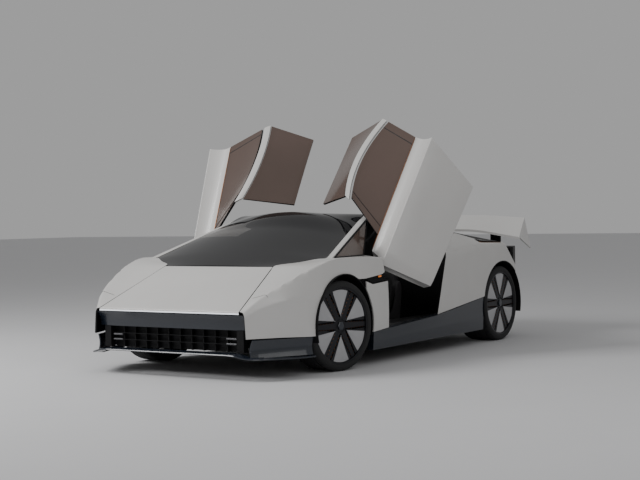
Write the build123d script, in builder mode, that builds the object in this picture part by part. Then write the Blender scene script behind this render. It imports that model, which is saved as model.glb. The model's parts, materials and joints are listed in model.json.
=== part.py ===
"""Wedge-shaped mid-engined supercar with two scissor doors, stored with the doors raised.

Millimetres. X points to the car's left, -Y to its front and Z up. The origin is on the ground, at the
middle of the car's length and width. Panels are given for the car's left side and mirrored in X = 0.
"""
import math
import os

from build123d import *

# ---- driving dimensions ----
WHEELBASE = 2750.0
FRONT_AXLE_Y = -1300.0
REAR_AXLE_Y = FRONT_AXLE_Y + WHEELBASE
SEAT_FIT = 0.3
RUN_GAP = 5.0
PANEL = 14.0
GLASS = 6.0

TYRE_R = 345.0
SIDEWALL = 53.0
RIM_R = TYRE_R - SIDEWALL
BARREL = 14.0
WHEEL_FACE_X = 980.0
FRONT_TYRE_W = 245.0
REAR_TYRE_W = 305.0
ARCH_GAP = 50.0
ARCH_R = TYRE_R + ARCH_GAP
LINER_R = ARCH_R - SEAT_FIT
LINER_WALL = 6.0
LINER_X = 560.0
LINER_END = 995.0
KINGPIN_X = 830.0
STEER_REST = -10.7
HUB_R = 60.0
CAP_R = 34.0
SPINDLE_R = 30.0
BRAKE_R = RIM_R - 102.0
BRAKE_W = 32.0
SPOKES = 6
SPOKE_ROOT = 62.0
SPOKE_TIP = 46.0
PETAL_GAP = 7.0
PETAL_T = 8.0
ARM_Z = (TYRE_R - 120.0, TYRE_R + 110.0)
ARM_T = 24.0
EYE_R = 22.0
PIN_R = 9.0
SHAFT_R = 24.0
DISC_X = 876.0
SPINDLE_END = 930.0

FLOOR_Z = 130.0
FLOOR_T = 30.0
TUNNEL_W = 220.0
TUNNEL_H = 160.0
SILL_TOP = 300.0
TUB_FRONT_Y = -890.0
TUB_REAR_Y = 600.0
TUB_X = 700.0
SILL_X = 930.0
WALL = 30.0
SCUTTLE_Z = 700.0
JACK_X = 880.0
JACK_Y = (-800.0, 520.0)
JACK_R = 20.0
JACK_DEPTH = 20.0
FRONT_BOX_TOP = 580.0

DOOR_T = 120.0
DOOR_OPEN = 66.3
DOOR_HINGE = (900.0, -706.0, 884.0)
DOOR_AXIS = (1.0, -0.43, -0.441)
HINGE_PIN_R = 12.0
HINGE_EYE_R = 20.5
HINGE_EYE_X = 737.0
HINGE_EYE_L = 30.0
POST_X = 680.0
POST_T = 24.0
ARM_W = 18.0

RAIL_IN = 365.0
RAIL_OUT = 435.0
FRAME_T = 12.0
RAIL_T = 16.0

BONNET_T = 18.0
COVER_T = 22.0
LID_PIN_R = 4.0
LID_LUG_R = 7.0
LID_LUG_T = 6.0

BAND_BOTTOM = 365.0
BLADE_TOP = 203.0
BLADE_T = 18.0
TAIL_BOTTOM = 360.3
TAIL_TOP = 860.0


def station(y):
    """Cross-section plane at y, with X across and Z up."""
    return Plane.XZ.offset(-y)


def side(x):
    """Side-view plane at x, with Y along and Z up."""
    return Plane.YZ.offset(x)


def level(z):
    """Plan plane at height z."""
    return Plane.XY.offset(z)


def skin(outer, wall):
    """Closed outline of a skin: the outer line, given from the inner edge down to the foot, and its back."""
    normals = []
    for (x0, z0), (x1, z1) in zip(outer, outer[1:]):
        run = math.hypot(x1 - x0, z1 - z0)
        normals.append(((z1 - z0) / run, (x0 - x1) / run))
    back = []
    for i, (x, z) in enumerate(outer):
        first = normals[max(i - 1, 0)]
        last = normals[min(i, len(normals) - 1)]
        nx, nz = first[0] + last[0], first[1] + last[1]
        size = math.hypot(nx, nz)
        back.append((x + wall * nx / size, z + wall * nz / size))
    return list(outer) + back[::-1]


def panel_plane(a, b, c):
    """Plane through three points, with X from a to b."""
    start = Vector(*a)
    along = Vector(*b) - start
    return Plane(origin=start, x_dir=along, z_dir=along.cross(Vector(*c) - start))


def on_plane(plane, points):
    """The points in the plane's own two coordinates."""
    local = [plane.to_local_coords(Vector(*p)) for p in points]
    return [(p.X, p.Y) for p in local]


def between(rows, y):
    """The points of a table of sections at y, straight between its stations."""
    for (y0, *first), (y1, *last) in zip(rows, rows[1:]):
        if y0 <= y <= y1:
            t = (y - y0) / (y1 - y0)
            return [(a + t * (c - a), b + t * (d - b)) for (a, b), (c, d) in zip(first, last)]
    raise ValueError(f"no station spans y = {y}")


def patch(pane, u0, u1, v0, v1):
    """Corners of the part of a twisted pane that lies between the shares u along its edges and v across."""
    a, b, c, d = (Vector(*p) for p in pane)
    return [(a + (b - a) * u) * (1 - v) + (d + (c - d) * u) * v
            for u, v in ((u0, v0), (u1, v0), (u1, v1), (u0, v1))]


def ruled_between(*quads):
    """Ruled solid through faces given by their corners in space."""
    with BuildPart() as body:
        for quad in quads:
            plane = panel_plane(*quad[:3])
            with BuildSketch(plane):
                with BuildLine():
                    Polyline(*on_plane(plane, quad), close=True)
                make_face()
        loft(ruled=True)
    return body.part


def twisted(pane, top, bottom):
    """Ruled slab under a pane whose four corners need not lie in one plane, between two depths."""
    a, b, c, d = (Vector(*p) for p in pane)
    across = c + d - a - b
    quads = []
    for first, last in ((a, b), (d, c)):
        normal = (last - first).cross(across).normalized()
        quads.append([first - normal * top, last - normal * top, last - normal * bottom,
                      first - normal * bottom])
    return ruled_between(*quads)


def hung(line, depth):
    """Corners of an upright face that hangs from a line in space."""
    return [*line, *[(x, y, z - depth) for x, y, z in reversed(line)]]


def lid_outline(free, pivot, half):
    """Side view of a lid: square at its free end and round about its hinge pin."""
    start, end = Vector(*free), Vector(*pivot)
    along = (end - start).normalized() * half
    up = Vector(-along.Y, along.X)
    Line(start + up, end + up)
    ThreePointArc(end + up, end + along, end - up)
    Line(end - up, start - up)
    Line(start - up, start + up)


# ---- floor: pan with tunnel, sills with jacking sockets, firewall and rear bulkhead ----
TUB_MID_Y = (TUB_FRONT_Y + TUB_REAR_Y) / 2
with BuildPart() as floor_pan:
    with BuildSketch(level(FLOOR_Z)):
        with Locations((0, TUB_MID_Y)):
            Rectangle(2 * TUB_X, TUB_REAR_Y - TUB_FRONT_Y)
    extrude(amount=FLOOR_T)
    with BuildSketch(level(FLOOR_Z + FLOOR_T)):
        with Locations((0, TUB_MID_Y + WALL / 2)):
            Rectangle(TUNNEL_W, TUB_REAR_Y - TUB_FRONT_Y - WALL)
    extrude(amount=TUNNEL_H)

with BuildPart() as sills:
    for hand in (-1, 1):
        with BuildSketch(level(FLOOR_Z)):
            with Locations((hand * (TUB_X + SILL_X) / 2, TUB_MID_Y)):
                Rectangle(SILL_X - TUB_X, TUB_REAR_Y - TUB_FRONT_Y)
            with Locations(*[(hand * JACK_X, y) for y in JACK_Y]):
                Circle(JACK_R, mode=Mode.SUBTRACT)
        extrude(amount=JACK_DEPTH)
        with BuildSketch(level(FLOOR_Z + JACK_DEPTH)):
            with Locations((hand * (TUB_X + SILL_X) / 2, TUB_MID_Y)):
                Rectangle(SILL_X - TUB_X, TUB_REAR_Y - TUB_FRONT_Y)
        extrude(amount=SILL_TOP - FLOOR_Z - JACK_DEPTH)

# columns: y, then (x, z) of the shoulder's inner edge, side crease and foot
QUARTERS = [
    (180, (780, 890), (962, 830), (975, 323)),
    (560, (775, 930), (970, 860), (985, 369)),
    (876, (800, 1010), (980, 891), (992, 407)),
    (1135, (890, 945), (990, 903), (1000, 438)),
    (REAR_AXLE_Y + 50, (978, 912), (1000, 905), (1002, 483)),
    (REAR_AXLE_Y + 270, (985, 712), (1000, 700), (1002, 510)),
]
COVER_PIVOT = (TUB_REAR_Y + 47, 1079)
COVER_FREE = (REAR_AXLE_Y + 240, 949)
COVER_HALF = 560
BULKHEAD_TOP = 1081
LID_LUG_X = 300
with BuildPart() as bulkheads:
    with BuildSketch(station(TUB_FRONT_Y)):
        with Locations((0, (FLOOR_Z + FLOOR_T + SCUTTLE_Z) / 2)):
            Rectangle(2 * TUB_X, SCUTTLE_Z - FLOOR_Z - FLOOR_T)
    extrude(amount=-WALL)
    quarter_inside = skin(between(QUARTERS, TUB_REAR_Y), PANEL + SEAT_FIT)[3:]
    (foot_x, foot_z), (crease_x, crease_z), (edge_x, edge_z) = quarter_inside
    with BuildSketch(station(TUB_REAR_Y)):
        with BuildLine():
            half_outline = [(SILL_X, FLOOR_Z), (SILL_X, foot_z), (foot_x, foot_z + RUN_GAP),
                            (crease_x, crease_z), (edge_x, edge_z), (COVER_HALF + RUN_GAP, BULKHEAD_TOP)]
            Polyline(*half_outline, *[(-x, z) for x, z in reversed(half_outline)], close=True)
        make_face()
    extrude(amount=-WALL)
    pin_y, pin_z = COVER_PIVOT
    for x in (-LID_LUG_X, LID_LUG_X):
        with BuildSketch(side(x - LID_LUG_T / 2)):
            with BuildLine():
                Polyline((TUB_REAR_Y + WALL - 5, 1040), (TUB_REAR_Y + WALL - 5, 1062),
                         (pin_y - LID_LUG_R, 1062), (pin_y - LID_LUG_R, pin_z), (pin_y + LID_LUG_R, pin_z),
                         (pin_y + LID_LUG_R, 1040), close=True)
            make_face()
            with Locations(COVER_PIVOT):
                Circle(LID_LUG_R)
        extrude(amount=LID_LUG_T)
        with BuildSketch(side(x - 30)):
            with Locations(COVER_PIVOT):
                Circle(LID_PIN_R)
        extrude(amount=60)

# ---- front structure: box between the wheels, luggage tub in front of it and crash beam ----
TRAY_BOTTOM = BLADE_TOP + SEAT_FIT
with BuildPart() as front_structure:
    with BuildSketch(level(180)):
        with Locations((0, -1235)):
            Rectangle(2 * (LINER_X - SEAT_FIT), 690)
    extrude(amount=FRONT_BOX_TOP - 180)
    with BuildSketch(level(TRAY_BOTTOM)):
        with Locations((0, -1815)):
            Rectangle(960, 470)
    extrude(amount=550 - TRAY_BOTTOM)
    with BuildSketch(level(TRAY_BOTTOM + WALL)):
        with Locations((0, -1815)):
            Rectangle(960 - 2 * WALL, 470 - 2 * WALL)
    extrude(amount=550 - TRAY_BOTTOM - WALL, mode=Mode.SUBTRACT)
    with BuildSketch(level(240)):
        with Locations((0, -2075)):
            Rectangle(700, 50)
        for hand in (-1, 1):
            with Locations((hand * 300, -2050)):
                Rectangle(70, 60)
    extrude(amount=110)

# ---- scuttle: beams under the windscreen's foot and pillars, posts that carry the door hinges ----
BONNET_FREE = (-2218, 494)
BONNET_PIVOT = (-1592.5, 792)
PILLAR_BASE_Z = 816
hinge_line = Axis(DOOR_HINGE, DOOR_AXIS)


def hinge_point(x):
    """The point of the left door's hinge line at x."""
    step = x - DOOR_HINGE[0]
    return tuple(start + step * slope for start, slope in zip(DOOR_HINGE, DOOR_AXIS))


def along_hinge(x, length, radius):
    """Round bar about the left door's hinge line, of the given length from x outwards."""
    with BuildPart() as bar:
        with BuildSketch(Plane(origin=hinge_point(x), z_dir=DOOR_AXIS)):
            Circle(radius)
        extrude(amount=length)
    return bar.part


with BuildPart() as scuttle:
    with BuildSketch(level(765)):
        with Locations((0, -1320)):
            Rectangle(2 * 895, 50)
    extrude(amount=PILLAR_BASE_Z - SEAT_FIT - 765)
    with BuildSketch(level(765)):
        for hand in (-1, 1):
            with Locations((hand * 914, -1325)):
                Rectangle(42, 40)
    extrude(amount=78)
    with BuildSketch(level(FRONT_BOX_TOP)):
        for hand in (-1, 1):
            with Locations((hand * 500, -1320)):
                Rectangle(50, 50)
    extrude(amount=190)
    with BuildSketch(level(745)):
        with Locations((0, -1582)):
            Rectangle(1010, 44)
    extrude(amount=28.4)
    with BuildSketch(level(550 + SEAT_FIT)):
        for hand in (-1, 1):
            with Locations((hand * 440, -1592)):
                Rectangle(50, 24)
    extrude(amount=200)
    pin_y, pin_z = BONNET_PIVOT
    for x in (-LID_LUG_X, LID_LUG_X):
        with BuildSketch(side(x - LID_LUG_T / 2)):
            with BuildLine():
                Polyline((pin_y - LID_LUG_R, 770), (pin_y - LID_LUG_R, pin_z), (pin_y + LID_LUG_R, pin_z),
                         (pin_y + LID_LUG_R, 770), close=True)
            make_face()
            with Locations(BONNET_PIVOT):
                Circle(LID_LUG_R)
        extrude(amount=LID_LUG_T)
        with BuildSketch(side(x - 30)):
            with Locations(BONNET_PIVOT):
                Circle(LID_PIN_R)
        extrude(amount=60)

with BuildPart() as hinge_posts:
    with BuildSketch(side(POST_X)):
        with BuildLine():
            Polyline((-860, 320), (-760, 320), (-700, 560), (-668, 880), (-640, 955), (-619, 993),
                     (-650, 993), (-720, 900), (-860, 790), close=True)
        make_face()
        with Locations((-619, 973)):
            Circle(20)
    extrude(amount=POST_T)
    add(along_hinge(POST_X + POST_T / 2, 74, HINGE_PIN_R))
    with BuildSketch(side(TUB_X)):
        with BuildLine():
            Polyline((-860, SILL_TOP), (-760, SILL_TOP), (-760, 340), (-860, 340), close=True)
        make_face()
    extrude(amount=POST_T)
    mirror(about=Plane.YZ)

# ---- rear structure: two rails over the rear axle with drop plates, and a cross beam ----
RAIL_END = REAR_AXLE_Y + 668.2
with BuildPart() as rear_structure:
    with BuildSketch(side(RAIL_IN)):
        with BuildLine():
            Polyline((TUB_REAR_Y + WALL, 395), (REAR_AXLE_Y - 180, 395), (REAR_AXLE_Y - 180, 195),
                     (REAR_AXLE_Y + 180, 195), (REAR_AXLE_Y + 180, 395), (RAIL_END, 395), (RAIL_END, 480),
                     (TUB_REAR_Y + WALL, 480), close=True)
        make_face()
        with Locations((REAR_AXLE_Y, TYRE_R)):
            Circle(45, mode=Mode.SUBTRACT)
    extrude(amount=RAIL_OUT - RAIL_IN)
    mirror(about=Plane.YZ)
    with BuildSketch(level(400)):
        with Locations((0, RAIL_END - 27)):
            Rectangle(1200, 54)
    extrude(amount=70)

# ---- power unit: one plain block on the rails' inner faces ----
with BuildPart() as power_unit:
    with BuildSketch(level(180)):
        with Locations((0, REAR_AXLE_Y - 300)):
            Rectangle(2 * RAIL_IN, 1000)
    extrude(amount=400)

# ---- front fascia: band below the bonnet, posts beside the intake ----
BAND_HALF = 668
INTAKE_Y = -2105
with BuildPart() as front_fascia:
    with BuildSketch(side(0)):
        with BuildLine():
            Polyline((-2224, 476), (-2168, BAND_BOTTOM), (-2110, BAND_BOTTOM), (-2120, 476), close=True)
        make_face()
    extrude(amount=BAND_HALF, both=True)
    with BuildSketch(level(BLADE_TOP + SEAT_FIT)):
        for hand in (-1, 1):
            with Locations((hand * 635, -2140)):
                Rectangle(60, 50)
    extrude(amount=BAND_BOTTOM - BLADE_TOP - SEAT_FIT)

# ---- intake grille: back panel and upright vanes ----
VANE_PITCH = 110
VANE_T = 8
grille_foot = BLADE_TOP + SEAT_FIT
grille_height = BAND_BOTTOM - SEAT_FIT - grille_foot
with BuildPart() as intake_grille:
    with BuildSketch(station(INTAKE_Y)):
        with Locations((0, grille_foot + grille_height / 2)):
            Rectangle(1209, grille_height)
    extrude(amount=-5)
    with BuildSketch(station(INTAKE_Y)):
        with Locations((0, grille_foot + grille_height / 2)):
            with GridLocations(VANE_PITCH, 0, 10, 1):
                Rectangle(VANE_T, grille_height)
    extrude(amount=30)

# ---- splitter: blade under the intake and the side valances up to the wheels ----
VALANCE_TOP = 290
VALANCE_BOTTOM = 165
with BuildPart() as front_splitter:
    with BuildSketch(level(BLADE_TOP - BLADE_T)):
        with BuildLine():
            Polyline((-800, -2150), (-760, -2262), (760, -2262), (800, -2150), (560, -2100),
                     (560, -2000), (-560, -2000), (-560, -2100), close=True)
        make_face()
    extrude(amount=BLADE_T)
    for hand in (-1, 1):
        with BuildSketch(level(VALANCE_BOTTOM)):
            with BuildLine():
                Polyline((hand * 726, -2160), (hand * 850, -1945), (hand * 985, -1700), (hand * 955, -1700),
                         (hand * 820, -1945), (hand * 696, -2160), close=True)
            make_face()
        extrude(amount=VALANCE_TOP - VALANCE_BOTTOM)

# ---- quarter glass between pillar and door ----
QUARTER = [(884.2, -1285, 859.6), (820, -745, 861.5), (681.7, -448, 1154.1)]
with BuildPart() as quarter_glass:
    quarter_plane = panel_plane(*QUARTER)
    with BuildSketch(quarter_plane):
        with BuildLine():
            Polyline(*on_plane(quarter_plane, QUARTER), close=True)
        make_face()
    extrude(amount=-GLASS)
    mirror(about=Plane.YZ)

# ---- front fenders: skins from the nose corners back over the wheels, and panels behind the wheels ----
# columns: y, then (x, z) of the bonnet edge, upper crease, lower crease and foot
FENDER = [
    (-2217, (672, 505), (700, 500), (713, 470), (724, 308)),
    (-2100, (647, 560), (765, 594), (797, 530), (775, 306)),
    (-1950, (613, 631), (829, 670), (903, 577), (852, 304)),
    (-1850, (591, 678), (860, 715), (934, 585), (908, 301)),
    (-1750, (569, 725), (893, 755), (957, 592), (960, 298)),
    (-1650, (547, 773), (921, 793), (974, 597), (985, 297)),
    (-1577, (531, 807), (936, 816), (986, 602), (990, 296)),
    (-1450, (685, 833), (955, 849), (995, 610), (998, 296)),
    (-1348, (812, 856), (964, 861), (1000, 618), (1000, 296)),
    (-1345, (893, 858), (964, 861), (1000, 618), (1000, 296)),
    (-1285, (884.5, 858), (965, 861), (1000, 622), (1000, 296)),
    (-1000, (850.6, 859.5), (970, 858), (1004, 632), (1004, 296)),
    (-709, (815.9, 860), (975, 842), (1006.5, 640), (1006.5, 296)),
]
LOWER_PANEL_X = 992.5
with BuildPart() as front_fenders:
    for y, *outer in FENDER:
        with BuildSketch(station(y)):
            with BuildLine():
                Polyline(*skin(outer, PANEL), close=True)
            make_face()
    loft(ruled=True)
    with BuildSketch(side(500)):
        with Locations((FRONT_AXLE_Y, TYRE_R)):
            Circle(ARCH_R)
        with BuildLine():
            Polyline((-1100, 200), (-1100, 690), (-1004, 690), (-760, 712), (-600, 760), (-600, 200),
                     close=True)
        make_face()
    extrude(amount=600, mode=Mode.SUBTRACT)
    with BuildSketch(level(600)):
        with Locations((800, -740)):
            Rectangle(2 * 160, 2 * 55)
    extrude(amount=400, mode=Mode.SUBTRACT)
    with BuildSketch(side(LOWER_PANEL_X)):
        with BuildLine():
            Polyline((-1000, 655), (-672, 658), (-672, 280), (-1000, 256), close=True)
        make_face()
        with Locations((FRONT_AXLE_Y, TYRE_R)):
            Circle(ARCH_R, mode=Mode.SUBTRACT)
    extrude(amount=PANEL)
    mirror(about=Plane.YZ)

# ---- bonnet ----
BONNET_PLAN = [(667, -2230), (523, -1575)]
LUG_SLOT = 8
LUG_RISE = 7
with BuildPart() as bonnet:
    with BuildSketch(side(0)):
        with BuildLine():
            lid_outline(BONNET_FREE, BONNET_PIVOT, BONNET_T / 2)
        make_face()
    extrude(amount=BONNET_PLAN[0][0], both=True)
    with BuildSketch(level(400)):
        with BuildLine():
            Polyline(*BONNET_PLAN, *[(-x, y) for x, y in reversed(BONNET_PLAN)], close=True)
        make_face()
    extrude(amount=500, mode=Mode.INTERSECT)
    pin_y, pin_z = BONNET_PIVOT
    for x in (-LID_LUG_X, LID_LUG_X):
        with BuildSketch(side(x - LUG_SLOT)):
            with Locations(BONNET_PIVOT):
                Circle(LID_LUG_R + 0.6)
            with BuildLine():
                Polyline((pin_y - 8, pin_z), (pin_y - 8, pin_z - 20), (pin_y + 18, pin_z - 20),
                         (pin_y + 18, pin_z + LUG_RISE), (pin_y, pin_z + LUG_RISE), close=True)
            make_face()
        extrude(amount=2 * LUG_SLOT, mode=Mode.SUBTRACT)
        with BuildSketch(side(x - 33)):
            with Locations(BONNET_PIVOT):
                Circle(LID_PIN_R + SEAT_FIT)
        extrude(amount=66, mode=Mode.SUBTRACT)

# ---- windscreen: columns y, half width, edge height, middle height ----
SCREEN = [
    (-1577, 524, 800, 806),
    (-1321, 841.3, 858, 915),
    (-905, 739.5, 1006.1, 1092),
    (-590, 662.4, 1118.2, 1222),
    (-380, 611, 1193, 1204),
    (-304, 543, 1190, 1194),
]


def screen_shell(top, bottom):
    """Loft of the windscreen's sections between two depths."""
    with BuildPart() as shell:
        for y, half, edge, middle in SCREEN:
            with BuildSketch(station(y)):
                with BuildLine():
                    ThreePointArc((-half, edge - top), (0, middle - top), (half, edge - top))
                    Line((half, edge - top), (half, edge - bottom))
                    ThreePointArc((half, edge - bottom), (0, middle - bottom), (-half, edge - bottom))
                    Line((-half, edge - bottom), (-half, edge - top))
                make_face()
        loft(ruled=True)
    return shell.part


with BuildPart() as windscreen:
    add(screen_shell(0, GLASS))

# ---- roof pillars beside the windscreen: columns y, then (x, z) of the inner and outer edge ----
PILLAR = [
    (-1318, (840.9, 862), (889, 856)),
    (-380, (611.3, 1194), (660, 1183)),
    (-350, (586, 1192), (644, 1182)),
]
PILLAR_D = 30
with BuildPart() as roof_pillars:
    for y, (x_in, z_in), (x_out, z_out) in PILLAR:
        with BuildSketch(station(y)):
            with BuildLine():
                Polyline((x_in, z_in), (x_out, z_out), (x_out - 10, z_out - PILLAR_D),
                         (x_in, z_in - PILLAR_D), close=True)
            make_face()
    loft(ruled=True)
    with BuildSketch(level(PILLAR_BASE_Z)):
        with Locations((857, -1309)):
            Rectangle(30, 20)
    extrude(amount=30)
    mirror(about=Plane.YZ)

# ---- roof frame: border under the windscreen, and the spine and rear panel behind it ----
BORDER_W = 35
BORDER_T = 20
ROOF_T = 26
with BuildPart() as screen_border:
    add(screen_shell(GLASS + SEAT_FIT, GLASS + SEAT_FIT + BORDER_T))
    with BuildSketch(level(700)):
        with BuildLine():
            hole = [(half - BORDER_W, y) for y, half, _, _ in SCREEN[1:-1]]
            hole = [(SCREEN[0][1] + 10, SCREEN[0][0] + BORDER_W), *hole, (520, -345)]
            Polyline(*hole, *[(-x, y) for x, y in reversed(hole)], close=True)
        make_face()
    extrude(amount=700, mode=Mode.SUBTRACT)

# columns: y, half width and height of the spine's top
SPINE = [(SCREEN[-1][0] + SEAT_FIT, 100, 1186), (421, 23, 1160), (TUB_REAR_Y - 20, 14, 1106)]
ROOF_EDGE = [(430, 551, 1107), (10, 424, 1162)]
ROOF_REAR = [(430, TUB_REAR_Y, 1090), (10, TUB_REAR_Y, 1100)]
with BuildPart() as roof_frame:
    for y, half, z in SPINE:
        with BuildSketch(station(y)):
            with Locations((0, z - ROOF_T / 2)):
                Rectangle(2 * half, ROOF_T)
    loft(ruled=True)
    with BuildSketch(station(TUB_REAR_Y)):
        with Locations((0, 1073)):
            Rectangle(860, 40)
    extrude(amount=20)
    add(ruled_between(hung(ROOF_EDGE, ROOF_T), hung(ROOF_REAR, ROOF_T)))
    mirror(about=Plane.YZ)

# ---- doors, drawn closed and raised about their hinge lines ----
# columns: y, then (x, z) of inner belt, shoulder hollow, outer belt, foot
DOOR = [
    (-778, (797.5, 866), (865, 822), (937, 806), (935, 340)),
    (-690, (795.8, 869), (870, 824), (960, 812), (956, 338)),
    (400, (775.5, 897), (850, 850), (966, 839), (970, 325)),
]
# columns: (y, z) of the door's outline at its outer face, and how far its inner face lies ahead of it
DOOR_EDGE = [
    ((-778, 806), 0),
    ((-700, 830), 0),
    ((-640, 900), 0),
    ((402, 900), 0),
    ((387, 839), 0),
    ((197, 325), 50),
    ((-736, 344), 0),
]
DOOR_FACE_X = 970
SEAL = (-14, -22)
with BuildPart() as door_shell:
    for y, inner, hollow, outer, foot in DOOR:
        with BuildSketch(station(y)):
            with BuildLine():
                ThreePointArc(inner, hollow, outer)
                Polyline(outer, foot, (foot[0] - DOOR_T, foot[1]), (outer[0] - DOOR_T, outer[1] - 120),
                         (inner[0] + SEAL[0], inner[1] + SEAL[1]), inner)
            make_face()
    loft(ruled=True)
    for depth in (3 * DOOR_T, -DOOR_T):
        with BuildSketch(side(DOOR_FACE_X - depth)):
            with BuildLine():
                Polyline(*[(y - lead * depth / DOOR_T, z) for (y, z), lead in DOOR_EDGE], close=True)
            make_face()
    loft(ruled=True, mode=Mode.INTERSECT)

# corners of the panes and of the rail: front and rear of the lower edge, rear and front of the upper edge
WINDOW = [(792.1, -523, 873.6), (775, 400, 898), (505, 517, 1075), (632, -293, 1152)]
ROOF_PANE = [(560, -290, 1190), (422, 543, 1107), (30, 421, 1162), (112, -280, 1189)]
RAIL = [(632, -320, 1170), (485, 526, 1090), (431, 546, 1111), (567, -285, 1191)]
CARRIER = [(634.8, -297, 1147), (510.5, 514.6, 1071.4), (403, 537, 1109.7), (540, -290, 1190)]
WINDOW_RING = (0.033, 1.0, 0.0, 1.0)
WINDOW_HOLE = (0.066, 0.965, 0.09, 0.91)
ROOF_RING = (0.036, 1.0, 0.0, 1.0)
ROOF_HOLE = (0.072, 0.965, 0.08, 0.92)
CARRIER_DEPTH = (9.5, 24)
CARRIER_DROP = 12
CARRIER_SPAN = (0.04, 0.99, 0.0, 1.0)
RAIL_BED = (0.04, 0.99, 0.2, 0.8)
ARM_ROUTE = [(734, -622, 948), (726, -580, 915), (763, -464, 880)]

with BuildPart() as door_glass:
    for pane in (WINDOW, ROOF_PANE):
        add(twisted(pane, 0, GLASS))

with BuildPart() as door_rail:
    add(twisted(RAIL, 0, RAIL_T))

with BuildPart() as door_frame:
    for pane, ring, hole in ((WINDOW, WINDOW_RING, WINDOW_HOLE), (ROOF_PANE, ROOF_RING, ROOF_HOLE)):
        add(twisted(patch(pane, *ring), GLASS + SEAT_FIT, GLASS + SEAT_FIT + FRAME_T))
        add(twisted(patch(pane, *hole), 0, 4 * FRAME_T), mode=Mode.SUBTRACT)
    add(twisted(patch(CARRIER, *CARRIER_SPAN), *CARRIER_DEPTH))
    add(twisted(patch(RAIL, *RAIL_BED), RAIL_T + SEAT_FIT, CARRIER_DEPTH[1] + CARRIER_DROP))
    add(along_hinge(HINGE_EYE_X - HINGE_EYE_L / 2, HINGE_EYE_L, HINGE_EYE_R))
    for start, end in zip(ARM_ROUTE, ARM_ROUTE[1:]):
        run = Vector(*end) - Vector(*start)
        with BuildSketch(Plane(origin=start, x_dir=(1, 0, 0), z_dir=run)):
            Rectangle(ARM_W, ARM_W)
        extrude(amount=run.length + ARM_W / 2)
    bore = along_hinge(HINGE_EYE_X - HINGE_EYE_L, 2 * HINGE_EYE_L, HINGE_PIN_R + SEAT_FIT)
    add(bore, mode=Mode.SUBTRACT)

DOOR_PIECES = {}
for piece, name in ((door_shell, "door_shell"), (door_frame, "door_frame"), (door_glass, "door_glass"),
                    (door_rail, "door_rail")):
    raised = piece.part.rotate(hinge_line, DOOR_OPEN)
    DOOR_PIECES[f"{name}_left"] = raised
    DOOR_PIECES[f"{name}_right"] = mirror(raised, about=Plane.YZ)

# ---- rear quarters ----
with BuildPart() as rear_quarters:
    for y, *outer in QUARTERS:
        with BuildSketch(station(y)):
            with BuildLine():
                Polyline(*skin(outer, PANEL), close=True)
            make_face()
    loft(ruled=True)
    with BuildSketch(side(500)):
        with Locations((REAR_AXLE_Y, TYRE_R)):
            Circle(ARCH_R)
        with BuildLine():
            Polyline((100, 1100), (410, 1100), (410, 900), (393, 839), (203, 325), (190, 290), (100, 290),
                     close=True)
        make_face()
    extrude(amount=600, mode=Mode.SUBTRACT)
    mirror(about=Plane.YZ)

# ---- side skirts ----
SKIRT_T = 62
with BuildPart() as side_skirts:
    with BuildSketch(side(SILL_X)):
        with BuildLine():
            Polyline((-886, 120), (-886, 264), (203, 322), (1058, 424), (1058, 130), close=True)
        make_face()
        with Locations((REAR_AXLE_Y, TYRE_R)):
            Circle(ARCH_R, mode=Mode.SUBTRACT)
    extrude(amount=SKIRT_T)
    mirror(about=Plane.YZ)

# ---- rear deck between the quarters and the engine cover, and the panels ahead of it ----
DECK_FRONT_Y = TUB_REAR_Y + WALL + SEAT_FIT
DECK_INNER_X = COVER_HALF + RUN_GAP + 9
SAIL_EDGE = [(770, 412, 901), (503, 527, 1077)]
SAIL_REAR = [(766, TUB_REAR_Y - SEAT_FIT, 930), (500, TUB_REAR_Y - SEAT_FIT, 1086)]


def deck_section(y):
    """The deck's line at y, from the engine cover's side to the quarter's inner edge."""
    edge, crease, foot = between(QUARTERS, y)
    back = skin([edge, crease, foot], PANEL)[-1]
    slope = (COVER_FREE[1] - COVER_PIVOT[1]) / (COVER_FREE[0] - COVER_PIVOT[0])
    inner = (DECK_INNER_X, COVER_PIVOT[1] + COVER_T / 2 + slope * (y - COVER_PIVOT[0]))
    return [inner, (min(edge[0], back[0]) - SEAT_FIT, edge[1] - 1)]


with BuildPart() as rear_deck:
    for y in (DECK_FRONT_Y, 876, 1135, REAR_AXLE_Y + 50, REAR_AXLE_Y + 250):
        with BuildSketch(station(y)):
            with BuildLine():
                Polyline(*skin(deck_section(y), PANEL), close=True)
            make_face()
    loft(ruled=True)
    add(ruled_between(hung(SAIL_EDGE, PANEL), hung(SAIL_REAR, PANEL)))
    mirror(about=Plane.YZ)

# ---- engine cover ----
with BuildPart() as engine_cover:
    with BuildSketch(side(0)):
        with BuildLine():
            lid_outline(COVER_FREE, COVER_PIVOT, COVER_T / 2)
        make_face()
    extrude(amount=COVER_HALF, both=True)
    pin_y, pin_z = COVER_PIVOT
    for x in (-LID_LUG_X, LID_LUG_X):
        with BuildSketch(side(x - LUG_SLOT)):
            with Locations(COVER_PIVOT):
                Circle(LID_LUG_R + 0.6)
            with BuildLine():
                Polyline((pin_y + 8, pin_z), (pin_y + 8, pin_z - 20), (pin_y - 18, pin_z - 20),
                         (pin_y - 18, pin_z + LUG_RISE), (pin_y, pin_z + LUG_RISE), close=True)
            make_face()
        extrude(amount=2 * LUG_SLOT, mode=Mode.SUBTRACT)
        with BuildSketch(side(x - 33)):
            with Locations(COVER_PIVOT):
                Circle(LID_PIN_R + SEAT_FIT)
        extrude(amount=66, mode=Mode.SUBTRACT)

# ---- rear fascia with its shelf and riser under the wing, diffuser, lamp ----
TAIL_Y = REAR_AXLE_Y + 700
TAIL_WALL = 31.5
TAIL_HALF = 800
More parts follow.
